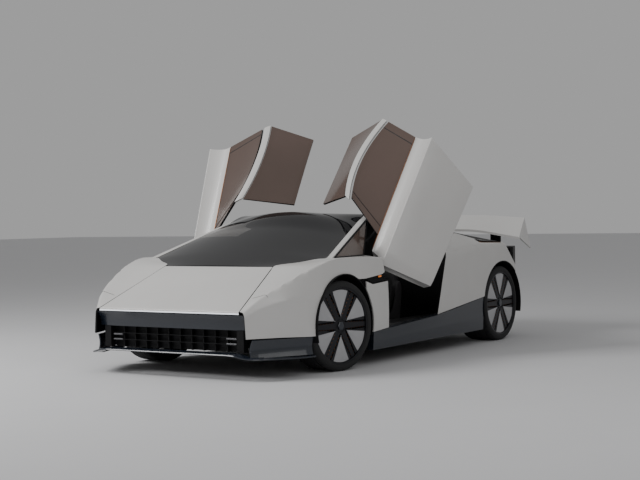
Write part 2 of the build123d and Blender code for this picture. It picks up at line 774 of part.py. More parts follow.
# columns: bottom, top, y and half width where the side begins
TAIL = [
    (TAIL_BOTTOM, 640, REAR_AXLE_Y + 408, 935),
    (640, TAIL_TOP, REAR_AXLE_Y + 276, 975),
]
with BuildPart() as rear_fascia:
    for bottom, top, front_y, front_x in TAIL:
        with BuildSketch(level(bottom)):
            with BuildLine():
                outside = [(front_x, front_y), (TAIL_HALF, TAIL_Y)]
                inside = [(TAIL_HALF - 25, TAIL_Y - TAIL_WALL), (front_x - 30, front_y)]
                Polyline(*outside, *[(-x, y) for x, y in reversed(outside)],
                         *[(-x, y) for x, y in reversed(inside)], *inside, close=True)
            make_face()
        extrude(amount=top - bottom)
    with BuildSketch(level(TAIL_TOP - PANEL)):
        with BuildLine():
            Polyline((970, REAR_AXLE_Y + 277), (TAIL_HALF - 5, TAIL_Y - 5), (5 - TAIL_HALF, TAIL_Y - 5),
                     (-970, REAR_AXLE_Y + 277), close=True)
        make_face()
    extrude(amount=PANEL)
    with BuildSketch(station(REAR_AXLE_Y + 277)):
        with Locations((0, 890)):
            Rectangle(2 * COVER_HALF, 80)
    extrude(amount=-PANEL)

DIFFUSER_HALF = 600
DIFFUSER = [(REAR_AXLE_Y + 310, 130), (TAIL_Y, 330), (TAIL_Y, 360), (REAR_AXLE_Y + 310, 160)]
FIN = [(REAR_AXLE_Y + 340, 150), (TAIL_Y - 5, 335), (TAIL_Y - 5, 215), (REAR_AXLE_Y + 400, 140)]
with BuildPart() as rear_diffuser:
    with BuildSketch(side(0)):
        with BuildLine():
            Polyline(*DIFFUSER, close=True)
        make_face()
    extrude(amount=DIFFUSER_HALF, both=True)
    for x in (-450, -270, -90, 90, 270, 450):
        with BuildSketch(side(x)):
            with BuildLine():
                Polyline(*FIN, close=True)
            make_face()
        extrude(amount=VANE_T)

with BuildPart() as tail_lamp:
    with BuildSketch(station(TAIL_Y + 15)):
        with Locations((0, 775)):
            Rectangle(2 * TAIL_HALF - 120, 30)
    extrude(amount=15)

# ---- rear wing: columns x, then (y, z) of the leading and trailing edge ----
WING = [
    ((0, REAR_AXLE_Y + 350, 1035), (0, TAIL_Y, 1172)),
    ((430, REAR_AXLE_Y + 365, 1030), (430, TAIL_Y, 1166)),
    ((985, REAR_AXLE_Y + 400, 951), (905, TAIL_Y, 1135)),
]
WING_TIP = (915, REAR_AXLE_Y + 815, 836)
with BuildPart() as rear_wing:
    add(ruled_between(*[[*line, *[(x, y + 6, z - 22) for x, y, z in reversed(line)]] for line in WING]))
    tip = (*WING[-1], WING_TIP)
    tip_plane = panel_plane(*tip)
    with BuildSketch(tip_plane):
        with BuildLine():
            Polyline(*on_plane(tip_plane, tip), close=True)
        make_face()
    extrude(amount=PANEL)
    with BuildSketch(level(TAIL_TOP)):
        with Locations((640, TAIL_Y - 100)):
            Rectangle(40, 120)
    extrude(amount=210)
    mirror(about=Plane.YZ)

# ---- cabin: seats, dashboard, steering wheel ----
SEAT_X = 370
SEAT_W = 360
BOLSTER_W = 50
with BuildPart() as seats:
    for x in (-SEAT_X, SEAT_X):
        with BuildSketch(side(x - SEAT_W / 2)):
            with BuildLine():
                Polyline((-330, 160), (-330, 290), (60, 255), (215, 700), (230, 780), (320, 780), (210, 160),
                         close=True)
            make_face()
        extrude(amount=SEAT_W)
        for edge in (x - SEAT_W / 2 - BOLSTER_W, x + SEAT_W / 2):
            with BuildSketch(side(edge)):
                with BuildLine():
                    Polyline((-300, 160), (-280, 320), (30, 330), (90, 380), (160, 600), (240, 620),
                             (270, 560), (210, 160), close=True)
                make_face()
            extrude(amount=BOLSTER_W)

with BuildPart() as dashboard:
    with BuildSketch(side(0)):
        with BuildLine():
            Polyline((-1294.7, 745), (-1294.7, 790), (-600, 790), (-560, 740), (-600, 560), (-700, 560),
                     (-850, 745), close=True)
        make_face()
    extrude(amount=POST_X - SEAT_FIT, both=True)

with BuildPart() as steering_wheel:
    wheel_plane = Plane(origin=(370, -470, 720), x_dir=(1, 0, 0), z_dir=(0, 1, 0.35))
    with BuildSketch(wheel_plane):
        Circle(175)
        Circle(150, mode=Mode.SUBTRACT)
        Rectangle(310, 40)
    extrude(amount=24)
    with BuildSketch(wheel_plane):
        Circle(30)
    extrude(amount=-89.5)

# ---- suspension and liners ----


def arms(y, inner_x, outer_x):
    """Upper and lower arms of both sides, from the structure to the eyes at the upright."""
    with BuildPart() as links:
        for z in ARM_Z:
            with BuildSketch(level(z)):
                with BuildLine():
                    Polyline((inner_x, y - 150), (outer_x, y - EYE_R), (outer_x, y + EYE_R),
                             (inner_x, y + 150), (inner_x, y + 110), (outer_x - 120, y), (inner_x, y - 110),
                             close=True)
                make_face()
                with Locations((outer_x, y)):
                    Circle(EYE_R)
                    Circle(PIN_R + SEAT_FIT, mode=Mode.SUBTRACT)
            extrude(amount=ARM_T)
        mirror(about=Plane.YZ)
    return links.part


with BuildPart() as front_suspension:
    add(arms(FRONT_AXLE_Y, LINER_X + 0.5, KINGPIN_X))


def upright(pin_x, spindle_end):
    """Upright between the arms' eyes, with its two pins and the spindle."""
    with BuildPart() as carrier:
        low = ARM_Z[0] + ARM_T + SEAT_FIT
        high = ARM_Z[1] - SEAT_FIT
        with BuildSketch(side(pin_x - 15)):
            with Locations((0, (low + high) / 2 - TYRE_R)):
                Rectangle(70, high - low)
        extrude(amount=30)
        with BuildSketch(side(pin_x)):
            Circle(SPINDLE_R)
        extrude(amount=spindle_end - pin_x)
        with BuildSketch(level(ARM_Z[0] - TYRE_R)):
            with Locations((pin_x, 0)):
                Circle(PIN_R)
        extrude(amount=ARM_Z[1] + ARM_T - ARM_Z[0])
    return carrier.part


REAR_UPRIGHT_X = 770
with BuildPart() as rear_suspension:
    add(arms(REAR_AXLE_Y, RAIL_OUT + 0.5, REAR_UPRIGHT_X))

with BuildPart() as rear_uprights:
    with BuildSketch(side(REAR_UPRIGHT_X - 15)):
        with Locations((REAR_AXLE_Y, (ARM_Z[0] + ARM_T + ARM_Z[1]) / 2)):
            Rectangle(70, ARM_Z[1] - ARM_Z[0] - ARM_T - 2 * SEAT_FIT)
        with Locations((REAR_AXLE_Y, TYRE_R)):
            Circle(50)
            Circle(SHAFT_R + 1, mode=Mode.SUBTRACT)
    extrude(amount=30)
    for z, rise in ((ARM_Z[0], ARM_T + 5), (ARM_Z[1] - 5, ARM_T + 5)):
        with BuildSketch(level(z)):
            with Locations((REAR_UPRIGHT_X, REAR_AXLE_Y)):
                Circle(PIN_R)
        extrude(amount=rise)
    mirror(about=Plane.YZ)

with BuildPart() as wheel_liners:
    for y, inner_x in ((FRONT_AXLE_Y, LINER_X), (REAR_AXLE_Y, RAIL_OUT + SEAT_FIT)):
        with BuildSketch(side(inner_x)):
            with Locations((y, TYRE_R)):
                Circle(LINER_R)
                Circle(LINER_R - LINER_WALL, mode=Mode.SUBTRACT)
            with Locations((y, TYRE_R - 400)):
                Rectangle(1000, 600, mode=Mode.SUBTRACT)
        extrude(amount=LINER_END - inner_x)
    mirror(about=Plane.YZ)

# ---- wheels ----


def tyre(width):
    """Left tyre on the axle line, its outer wall at the wheel face."""
    with BuildPart() as ring:
        with BuildSketch(Plane.XY):
            with BuildLine():
                Polyline((WHEEL_FACE_X - width, RIM_R), (WHEEL_FACE_X - width, TYRE_R - 20),
                         (WHEEL_FACE_X - width + 18, TYRE_R), (WHEEL_FACE_X - 18, TYRE_R),
                         (WHEEL_FACE_X, TYRE_R - 20), (WHEEL_FACE_X, RIM_R), close=True)
            make_face()
        revolve(axis=Axis.X)
    return ring.part


def spokes(margin):
    """Sketch of the spokes, tapering outwards and widened all round by the margin."""
    root, tip = SPOKE_ROOT / 2 + margin, SPOKE_TIP / 2 + margin
    with BuildSketch() as star:
        with BuildSketch(mode=Mode.PRIVATE) as spoke:
            with BuildLine():
                Polyline((0, -root), (HUB_R, -root), (RIM_R, -tip), (RIM_R, tip), (HUB_R, root),
                         (0, root), close=True)
            make_face()
        with PolarLocations(0, SPOKES):
            add(spoke.sketch)
    return star.sketch


def rim(width):
    """Left rim on the axle line: barrel, hub disc, spokes and hub cap."""
    with BuildPart() as wheel:
        with BuildSketch(side(WHEEL_FACE_X - width + 4)):
            Circle(RIM_R - SEAT_FIT)
            Circle(RIM_R - BARREL, mode=Mode.SUBTRACT)
        extrude(amount=width - 10)
        with BuildSketch(side(WHEEL_FACE_X - 44)):
            Circle(HUB_R)
            add(spokes(0))
            Circle(RIM_R - BARREL / 2, mode=Mode.INTERSECT)
        extrude(amount=26)
        with BuildSketch(side(WHEEL_FACE_X - 20)):
            RegularPolygon(CAP_R, SPOKES)
        extrude(amount=12)
    return wheel.part


def petals():
    """Left wheel's six inserts between the spokes."""
    with BuildPart() as inserts:
        with BuildSketch(side(WHEEL_FACE_X - 20)):
            Circle(RIM_R - BARREL - SEAT_FIT)
            Circle(HUB_R + 10, mode=Mode.SUBTRACT)
            add(spokes(PETAL_GAP), mode=Mode.SUBTRACT)
        extrude(amount=PETAL_T)
    return inserts.part


def hub(bore_r, shaft_in):
    """Left hub on the axle line with its brake disc: bored for a spindle, or with a drive shaft."""
    with BuildPart() as carrier:
        with BuildSketch(side(DISC_X)):
            Circle(BRAKE_R)
        extrude(amount=BRAKE_W)
        with BuildSketch(side(DISC_X - 20)):
            Circle(HUB_R)
        extrude(amount=WHEEL_FACE_X - 44 - SEAT_FIT - DISC_X + 20)
        if shaft_in:
            with BuildSketch(side(shaft_in)):
                Circle(SHAFT_R)
            extrude(amount=DISC_X - shaft_in)
        else:
            with BuildSketch(side(DISC_X - 20)):
                Circle(bore_r)
            extrude(amount=SPINDLE_END + 2 - DISC_X + 20, mode=Mode.SUBTRACT)
    return carrier.part


def on_axle(shape, y, hand):
    """Shape drawn for the left wheel about the X axis, on its axle and steered if it is in front."""
    placed = shape.moved(Location((0, y, TYRE_R)))
    pin_x = KINGPIN_X
    if hand == "right":
        placed = mirror(placed, about=Plane.YZ)
        pin_x = -KINGPIN_X
    if y == FRONT_AXLE_Y:
        placed = placed.rotate(Axis((pin_x, y, 0), (0, 0, 1)), STEER_REST)
    return placed


AXLES = {"front": (FRONT_AXLE_Y, FRONT_TYRE_W, 0), "rear": (REAR_AXLE_Y, REAR_TYRE_W, RAIL_IN + 0.5)}
WHEEL_PIECES = {}
for hand in ("left", "right"):
    knuckle = upright(KINGPIN_X, SPINDLE_END)
    WHEEL_PIECES[f"knuckle_{hand}"] = on_axle(knuckle, FRONT_AXLE_Y, hand)
    for end, (y, width, shaft_in) in AXLES.items():
        for name, shape in (("tyre", tyre(width)), ("rim", rim(width)), ("petals", petals()),
                            ("hub", hub(SPINDLE_R + 0.5, shaft_in))):
            WHEEL_PIECES[f"{name}_{end}_{hand}"] = on_axle(shape, y, hand)

# ---- files ----
PIECES = {
    "floor_pan": floor_pan.part,
    "sills": sills.part,
    "bulkheads": bulkheads.part,
    "front_structure": front_structure.part,
    "scuttle": scuttle.part,
    "hinge_posts": hinge_posts.part,
    "rear_structure": rear_structure.part,
    "power_unit": power_unit.part,
    "front_fascia": front_fascia.part,
    "intake_grille": intake_grille.part,
    "front_splitter": front_splitter.part,
    "front_fenders": front_fenders.part,
    "bonnet": bonnet.part,
    "windscreen": windscreen.part,
    "roof_pillars": roof_pillars.part,
    "screen_border": screen_border.part,
    "roof_frame": roof_frame.part,
    "quarter_glass": quarter_glass.part,
    "rear_quarters": rear_quarters.part,
    "side_skirts": side_skirts.part,
    "rear_deck": rear_deck.part,
    "engine_cover": engine_cover.part,
    "rear_fascia": rear_fascia.part,
    "rear_diffuser": rear_diffuser.part,
    "tail_lamp": tail_lamp.part,
    "rear_wing": rear_wing.part,
    "seats": seats.part,
    "dashboard": dashboard.part,
    "steering_wheel": steering_wheel.part,
    "front_suspension": front_suspension.part,
    "rear_suspension": rear_suspension.part,
    "rear_uprights": rear_uprights.part,
    "wheel_liners": wheel_liners.part,
    **DOOR_PIECES,
    **WHEEL_PIECES,
}
os.makedirs("parts", exist_ok=True)
for name, part in PIECES.items():
    part.label = name
    export_step(part, f"parts/{name}.step")
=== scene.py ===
"""Looks of a wedge-shaped supercar with raised scissor doors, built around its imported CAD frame."""

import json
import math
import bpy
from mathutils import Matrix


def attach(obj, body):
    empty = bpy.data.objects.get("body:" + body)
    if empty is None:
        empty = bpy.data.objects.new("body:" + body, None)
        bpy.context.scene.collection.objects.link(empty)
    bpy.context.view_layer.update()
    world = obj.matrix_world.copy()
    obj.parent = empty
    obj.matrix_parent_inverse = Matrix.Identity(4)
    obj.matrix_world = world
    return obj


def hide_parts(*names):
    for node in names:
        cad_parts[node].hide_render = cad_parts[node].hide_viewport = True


bl_info = {
    "name": "Wedge supercar",
    "version": (1, 0, 0),
    "blender": (4, 5, 0),
    "location": "View3D > Sidebar > Supercar",
    "description": "Builds the bodywork, glass, wheels and cabin of a wedge-shaped supercar",
    "category": "Object",
}

import bmesh
import bpy
import numpy as np
from mathutils import Matrix, Vector

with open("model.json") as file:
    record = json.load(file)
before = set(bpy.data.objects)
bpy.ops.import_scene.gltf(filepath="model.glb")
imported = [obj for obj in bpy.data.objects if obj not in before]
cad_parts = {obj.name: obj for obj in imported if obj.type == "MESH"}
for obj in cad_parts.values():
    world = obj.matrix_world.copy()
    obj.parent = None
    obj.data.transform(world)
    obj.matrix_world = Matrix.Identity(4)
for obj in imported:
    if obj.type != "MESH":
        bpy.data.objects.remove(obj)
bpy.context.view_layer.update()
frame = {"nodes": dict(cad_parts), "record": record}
NODES = frame["nodes"]


def unit(vector):
    """The vector at length 1."""
    return np.array(vector) / np.linalg.norm(vector)


# ---- fixed sizes, in metres and radians ----

RENDER_WIDTH = 640  # pixels
SENSOR_WIDTH = 36.0  # millimetres
FRONT_AXLE = (-1.300, 0.345)
REAR_AXLE = (1.450, 0.345)
TYRE_R = 0.345
RIM_R = 0.292
WHEEL_FACE = 0.980
SPOKES = 6
SPOKE_TURN = 2 * math.pi / SPOKES
ARCH_R = 0.395
DOOR_HINGE = np.array([0.900, -0.706, 0.884])
DOOR_AXIS = unit([1.0, -0.43, -0.441])
DOOR_OPEN = math.radians(66.3)
DOOR_WALL = 0.120
STEER_REST = math.radians(-10.7)
KINGPIN_X = 0.830
BONNET_FRONT = -2.2219
BONNET_REAR = -1.5964
BONNET_WALL = 0.018
GLASS_WALL = 0.006
RAIL_WALL = 0.016
QUARTER_WALL = 0.014
SKIRT_WALL = 0.054
PLATE_WALL = 0.014
VALANCE_WALL = 0.010
UNDER = 0.0003  # gap between a pane or rail and what carries it
CORE = 0.0005  # radius that turned parts leave open about their axis
MIRROR = np.array([-1.0, 1.0, 1.0])

# ---- the user's sizes and colours ----


def colour(name, description, default):
    """A colour property in linear RGB."""
    return bpy.props.FloatVectorProperty(name=name, description=description, default=default, size=3,
                                         subtype="COLOR", min=0.0, max=1.0)


def length(name, description, default):
    """A length property in metres."""
    return bpy.props.FloatProperty(name=name, description=description, default=default, min=0.0,
                                   subtype="DISTANCE", unit="LENGTH")


def angle(name, description, default):
    """An angle property in radians."""
    return bpy.props.FloatProperty(name=name, description=description, default=default, subtype="ANGLE")


class FinishSettings(bpy.types.PropertyGroup):
    """Colours of the finishes."""

    paint: colour("Body paint", "Satin paint of the bodywork", (0.60, 0.59, 0.575))
    navy: colour("Lower trim", "Gloss navy of the nose band, splitter and skirts", (0.011, 0.016, 0.026))
    black: colour("Dark trim", "Matt black of ducts, frames and liners", (0.007, 0.007, 0.008))
    screen: colour("Windscreen", "Near-black tinted glass", (0.008, 0.008, 0.010))
    tint: colour("Side glass", "Brown tinted glass", (0.155, 0.110, 0.093))
    copper: colour("Accents", "Copper of the thin trim lines and the spokes' edges", (0.30, 0.13, 0.06))
    petal: colour("Wheel inserts", "Grey-white of the inserts between the spokes", (0.40, 0.40, 0.41))
    hide: colour("Seats", "Dark hide of the seats", (0.030, 0.028, 0.030))


class BodySettings(bpy.types.PropertyGroup):
    """Sizes of the bodywork's details."""

    panel: length("Panel", "Thickness of the body panels", 0.012)
    groove: length("Shut line", "Width of the drawn shut lines", 0.004)
    crown: length("Bonnet crown", "Rise of the bonnet's middle", 0.006)
    bow: length("Roof rail bow", "How far the roof rails bow inwards at mid length", 0.070)
    tread_depth: length("Tread", "Depth of the tyres' grooves", 0.006)


class StageSettings(bpy.types.PropertyGroup):
    """The camera's place and aim, and the floor's colour."""

    camera_place: bpy.props.FloatVectorProperty(name="Camera", description="Where the camera stands",
                                                default=(6.4046, -9.9009, 1.1788), size=3,
                                                subtype="TRANSLATION", unit="LENGTH")
    camera_yaw: angle("Yaw", "Turn from +Y towards -X", 0.5800)
    camera_dip: angle("Dip", "Downward tilt", 0.0176)
    camera_roll: angle("Roll", "Roll about the line of sight", -0.0165)
    focal_px: bpy.props.FloatProperty(name="Focal length", default=1338.05,
                                      description="Focal length in pixels of the frame")
    floor: colour("Floor", "Pale studio floor", (0.62, 0.62, 0.63))


# ---- curves and surfaces ----


def metres(rows):
    """A table in millimetres: its first column, and the rest as points, both in metres."""
    return (np.array([row[0] for row in rows]) / 1000.0,
            np.array([row[1:] for row in rows], float) / 1000.0)


def monotone(x, y, at):
    """Monotone cubic through the points (x, y), read at the places at: Hermite pieces whose slope at
    each point is the harmonic mean of the slopes on its two sides, or 0 where these differ in sign."""
    step = np.diff(x)
    tail = (1,) * (y.ndim - 1)
    rise = np.diff(y, axis=0) / step.reshape((-1, *tail))
    slope = np.empty_like(y)
    slope[0], slope[-1] = rise[0], rise[-1]
    total = rise[:-1] + rise[1:]
    product = rise[:-1] * rise[1:]
    slope[1:-1] = np.where(product > 0, 2 * product / np.where(total == 0, 1, total), 0)
    k = np.clip(np.searchsorted(x, at, side="right") - 1, 0, len(x) - 2)
    h = step[k].reshape((*at.shape, *tail))
    t = (at - x[k]).reshape((*at.shape, *tail)) / h
    return (y[k] * (1 + 2 * t) * (1 - t) ** 2 + slope[k] * h * t * (1 - t) ** 2
            + y[k + 1] * t * t * (3 - 2 * t) + slope[k + 1] * h * t * t * (t - 1))


def steady(x, y, at):
    """Straight lines through the points (x, y), read at the places at."""
    columns = [np.interp(at, x, column) for column in y.reshape(len(x), -1).T]
    return np.stack(columns, axis=1).reshape((*at.shape, *y.shape[1:]))


def rounded(points, radius, straight=6, arc=6):
    """Broken line (..., corners, axes) with its inner corners rounded: each corner becomes the quadratic
    curve whose ends lie the radius away along its two sides, or 0.45 of a side if that is less."""
    sides = np.diff(points, axis=-2)
    size = np.linalg.norm(sides, axis=-1, keepdims=True)
    cut = np.minimum(radius / np.maximum(size, 1e-9), 0.45)
    start = points[..., :-1, :] + sides * cut
    end = points[..., 1:, :] - sides * cut
    start[..., 0, :] = points[..., 0, :]
    end[..., -1, :] = points[..., -1, :]
    t = np.linspace(0, 1, straight, endpoint=False)[:, None]
    s = np.linspace(0, 1, arc, endpoint=False)[:, None]
    pieces = []
    last = sides.shape[-2] - 1
    for k in range(last + 1):
        first, final = start[..., k:k + 1, :], end[..., k:k + 1, :]
        pieces.append(first * (1 - t) + final * t)
        if k < last:
            corner, away = points[..., k + 1:k + 2, :], start[..., k + 1:k + 2, :]
            pieces.append(final * (1 - s) ** 2 + corner * 2 * s * (1 - s) + away * s * s)
    pieces.append(points[..., -1:, :])
    return np.concatenate(pieces, axis=-2)


def surface(x, y, z):
    """Grid of points from coordinates that may each be a number, a row, a column or a grid."""
    return np.stack(np.broadcast_arrays(x, y, z), axis=-1)


def line(a, b, rows=40):
    """Points along the straight line from a to b."""
    a, b = np.asarray(a, float), np.asarray(b, float)
    return a + (b - a) * np.linspace(0, 1, rows)[:, None]


def bowed(a, b, bow, rows=40):
    """Points from a to b along a line that bows by the given vector at mid length, as a parabola."""
    t = np.linspace(0, 1, rows)[:, None]
    return line(a, b, rows) + bow * 4 * t * (1 - t)


def ruled(lower, upper, columns=12):
    """Surface of straight lines between two curves, each given by its points along the way."""
    share = np.linspace(0, 1, columns)[None, :, None]
    return lower[:, None] * (1 - share) + upper[:, None] * share


def travel(points):
    """Distance along a broken line, from its start to each of its points."""
    return np.concatenate([[0], np.cumsum(np.linalg.norm(np.diff(points, axis=0), axis=1))])


def normals(points):
    """Unit normals of a surface grid: the cross product of its two directions."""
    across = np.cross(np.gradient(points, axis=0), np.gradient(points, axis=1))
    return across / np.maximum(np.linalg.norm(across, axis=-1, keepdims=True), 1e-12)


def quads(rows, columns, wrap=False, loop=False):
    """Faces of a grid, row by row; with wrap its last column joins the first, and with loop its last row
    joins the first."""
    i, j = np.meshgrid(np.arange(rows - 1 + loop), np.arange(columns - 1 + wrap), indexing="ij")
    a = (i * columns + j).ravel()
    b = (i * columns + (j + 1) % columns).ravel()
    return np.stack([a, b, b + columns, a + columns], axis=1) % (rows * columns)


def skin(points, wall):
    """Closed panel: the surface, a copy set back along its normals by the wall, and a rim round both.
    Gives (points, faces, how many of the faces, from the start, are the surface's own)."""
    rows, columns = points.shape[:2]
    count = rows * columns
    both = np.concatenate([points.reshape(-1, 3), (points + normals(points) * wall).reshape(-1, 3)])
    front = quads(rows, columns)
    number = np.arange(count).reshape(rows, columns)
    edge = np.concatenate([number[0], number[1:, -1], number[-1, -2::-1], number[-2:0:-1, 0]])
    following = np.roll(edge, -1)
    rim = np.stack([edge, edge + count, following + count, following], axis=1)
    return both, np.concatenate([front, front[:, ::-1] + count, rim]), len(front)


def capped(grid, ends=None):
    """Closed solid whose cross sections are the grid's rows, with a fan over the first and the last row
    about the given end points, or about the rows' own middles."""
    rows, columns = grid.shape[:2]
    count = rows * columns
    if ends is None:
        ends = np.stack([grid[0].mean(axis=0), grid[-1].mean(axis=0)])
    faces = quads(rows, columns, wrap=True)
    j = np.arange(columns)
    fans = [surface(base + j, base + (j + 1) % columns, tip)[:, [0, 1, 2, 2]]
            for base, tip in ((0, count), (count - columns, count + 1))]
    return np.concatenate([grid.reshape(-1, 3), ends]), np.concatenate([faces, *fans]), len(faces)


def looped(grid):
    """Closed solid of a grid whose last row joins its first row, and last column its first column."""
    faces = quads(*grid.shape[:2], wrap=True, loop=True)
    return grid.reshape(-1, 3), faces, len(faces)


def tube(path, section, closed=False):
    """Profile carried along a path: each of the path's points carries the section's two coordinates
    along the path's side and up directions, with its ends capped by fans, or joined if it is closed."""
    path = np.asarray(path, float)
    ahead = np.gradient(path, axis=0)
    if closed:
        ahead = np.roll(path, -1, axis=0) - np.roll(path, 1, axis=0)
    ahead /= np.linalg.norm(ahead, axis=1, keepdims=True)
    guide = np.where(np.abs(ahead[:, 2:3]) > 0.95, [[0.0, 1.0, 0.0]], [[0.0, 0.0, 1.0]])
    across = np.cross(ahead, guide)
    across /= np.linalg.norm(across, axis=1, keepdims=True)
    up = np.cross(across, ahead)
    grid = path[:, None] + across[:, None] * section[:, :1] + up[:, None] * section[:, 1:]
    return looped(grid) if closed else capped(grid, path[[0, -1]])


def crossbar(half, y, z, section, rows=3):
    """Straight bar across the car, reaching the given half width to each side."""
    return tube(line((-half, y, z), (half, y, z), rows), section)


def oval(width, height, count=10):
    """Round or oval section of the given half width and half height."""
    turn = np.linspace(0, 2 * math.pi, count, endpoint=False)
    return np.stack([width * np.cos(turn), height * np.sin(turn)], axis=1)


def oblong(width, height, corner, arc=3):
    """Rectangular section of the given full sizes with rounded corners."""
    w, h = width / 2 - corner, height / 2 - corner
    points = []
    for k, (x, y) in enumerate(((w, h), (-w, h), (-w, -h), (w, -h))):  # the corners, turning left
        turn = np.linspace(k, k + 1, arc) * math.pi / 2
        points.append(np.stack([x + corner * np.cos(turn), y + corner * np.sin(turn)], axis=1))
    return np.concatenate(points)


def spun(profile, count=72):
    """Profile of (along X, radius) pairs turned about the X axis, closed on itself round the turn."""
    x, radius = np.array(profile, float).T
    turn = np.linspace(0, 2 * math.pi, count, endpoint=False)[:, None]
    return looped(surface(x, radius * np.cos(turn), radius * np.sin(turn)))


def block(low, high):
    """Box between two corners."""
    (x0, y0, z0), (x1, y1, z1) = low, high
    points = np.array([(x, y, z) for z in (z0, z1) for y in (y0, y1) for x in (x0, x1)], float)
    faces = np.array([(0, 2, 3, 1), (4, 5, 7, 6), (0, 1, 5, 4), (2, 6, 7, 3), (0, 4, 6, 2),
                      (1, 3, 7, 5)])
    return points, faces, len(faces)


def turned(points, origin, axis, turn):
    """Points turned about a line: Rodrigues' formula."""
    arms = points - origin
    c, s = math.cos(turn), math.sin(turn)
    along = (arms @ axis)[..., None] * axis
    return origin + arms * c + np.cross(axis, arms) * s + along * (1 - c)


def round_x(part, turn):
    """A part turned about the X axis."""
    return (turned(part[0], np.zeros(3), np.array([1.0, 0, 0]), turn), *part[1:])


def aimed(part, axis, place):
    """A part made about the X axis, with that axis turned to another direction and moved to a place."""
    turn = np.array(Vector((1, 0, 0)).rotation_difference(Vector(axis)).to_matrix())
    return (part[0] @ turn.T + place, *part[1:])


def mirrored(part):
    """The same part on the other side of the car."""
    return (part[0] * MIRROR, *part[1:])


def both_sides(parts):
    """The parts and their mirror images."""
    return [*parts, *[(mirrored(part), finish) for part, finish in parts]]


def border(grid, wall, lines=2):
    """Dark frame of a pane: the four edge strips of a grid, each the given number of its lines deep."""
    strips = (grid[:, :lines], grid[:, -lines:], grid[:lines], grid[-lines:])
    return [(skin(strip, wall), "black") for strip in strips]


def linked(name, data):
    """A new object of the data, linked to the scene."""
    made = bpy.data.objects.new(name, data)
    bpy.context.collection.objects.link(made)
    return made


def make(name, parts, body="root", stands_for=(), sharp=35.0):
    """One object of several closed parts, each given as ((points, faces, front), finish). A finish may
    be a pair: one for the first faces, up to front, and one for the rest. A face whose last two corners
    are the same is a triangle."""
    finishes, points, faces, marks = [], [], [], []
    for (co, quad, front), finish in parts:
        names = finish if isinstance(finish, tuple) else (finish, finish)
        finishes += [label for label in dict.fromkeys(names) if label not in finishes]
        faces += [face[:3] if face[2] == face[3] else face for face in (quad + len(points)).tolist()]
        marks += [finishes.index(names[0])] * front + [finishes.index(names[1])] * (len(quad) - front)
        points += co.tolist()
    mesh = bpy.data.meshes.new(name)
    mesh.from_pydata(points, [], faces)
    for label in finishes:
        mesh.materials.append(MATERIALS[label])
    mesh.polygons.foreach_set("material_index", marks)
    shape = bmesh.new()
    shape.from_mesh(mesh)
    bmesh.ops.remove_doubles(shape, verts=shape.verts, dist=1e-6)
    bmesh.ops.recalc_face_normals(shape, faces=shape.faces)
    shape.to_mesh(mesh)
    shape.free()
    mesh.shade_smooth()
    mesh.set_sharp_from_angle(angle=math.radians(sharp))
    mesh.validate()
    made = linked(name, mesh)
    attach(made, body)
    if stands_for:
        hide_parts(*stands_for)
    return made


# ---- materials ----

MATERIALS = {}


def preset(node, **values):
    """Set a node's input sockets by name; an underscore stands for a space."""
    for socket, value in values.items():
        node.inputs[socket.replace("_", " ")].default_value = value


def join(tree, *rows):
    """Link sockets of a node tree; each row is (node, its output, other node, its input)."""
    for source, output, target, socket in rows:
        tree.links.new(source.outputs[output], target.inputs[socket])


def mottle_group():
    """Node group that breaks up a finish: noise on Object coordinates gives a shade of the colour, a
    roughness and a height for the bump."""
    group = bpy.data.node_groups.new("mottle", "ShaderNodeTree")
    for way, names in (("INPUT", ("Color", "Scale", "Shade", "Roughness", "Spread")),
                       ("OUTPUT", ("Color", "Roughness", "Height"))):
        for name in names:
            kind = "NodeSocketColor" if name == "Color" else "NodeSocketFloat"
            group.interface.new_socket(name=name, in_out=way, socket_type=kind)
    inside, outside, place, noise, tone, rough, scaled = (group.nodes.new(kind) for kind in (
        "NodeGroupInput", "NodeGroupOutput", "ShaderNodeTexCoord", "ShaderNodeTexNoise",
        "ShaderNodeMapRange", "ShaderNodeMath", "ShaderNodeVectorMath"))
    preset(noise, Detail=4.0)
    preset(tone, From_Min=0.3, From_Max=0.7, To_Min=1.0)
    scaled.operation = "SCALE"
    rough.operation = "MULTIPLY_ADD"
    join(group, (place, "Object", noise, "Vector"), (inside, "Scale", noise, "Scale"),
         (noise, "Fac", tone, "Value"), (inside, "Shade", tone, "To Max"),
         (inside, "Color", scaled, 0), (tone, "Result", scaled, "Scale"),
         (scaled, "Vector", outside, "Color"), (noise, "Fac", rough, 0), (inside, "Spread", rough, 1),
         (inside, "Roughness", rough, 2), (rough, "Value", outside, "Roughness"),
         (noise, "Fac", outside, "Height"))
    return group


def mottled(name, base, scale, shade, roughness, spread, bump=0.0, **sockets):
    """A new Principled material with the given socket values, whose colour, roughness and bump come from
    the mottle group."""
    material = MATERIALS[name] = bpy.data.materials.new(name)
    material.use_nodes = True
    tree = material.node_tree
    shader = tree.nodes["Principled BSDF"]
    preset(shader, **sockets)
    group = tree.nodes.new("ShaderNodeGroup")
    group.node_tree = bpy.data.node_groups.get("mottle") or mottle_group()
    preset(group, Color=(*base, 1.0), Scale=scale, Shade=shade, Roughness=roughness, Spread=spread)
    join(tree, (group, "Color", shader, "Base Color"), (group, "Roughness", shader, "Roughness"))
    if bump:
        height = tree.nodes.new("ShaderNodeBump")
        preset(height, Strength=1.0, Distance=bump)
        join(tree, (group, "Height", height, "Height"), (height, "Normal", shader, "Normal"))
    return material


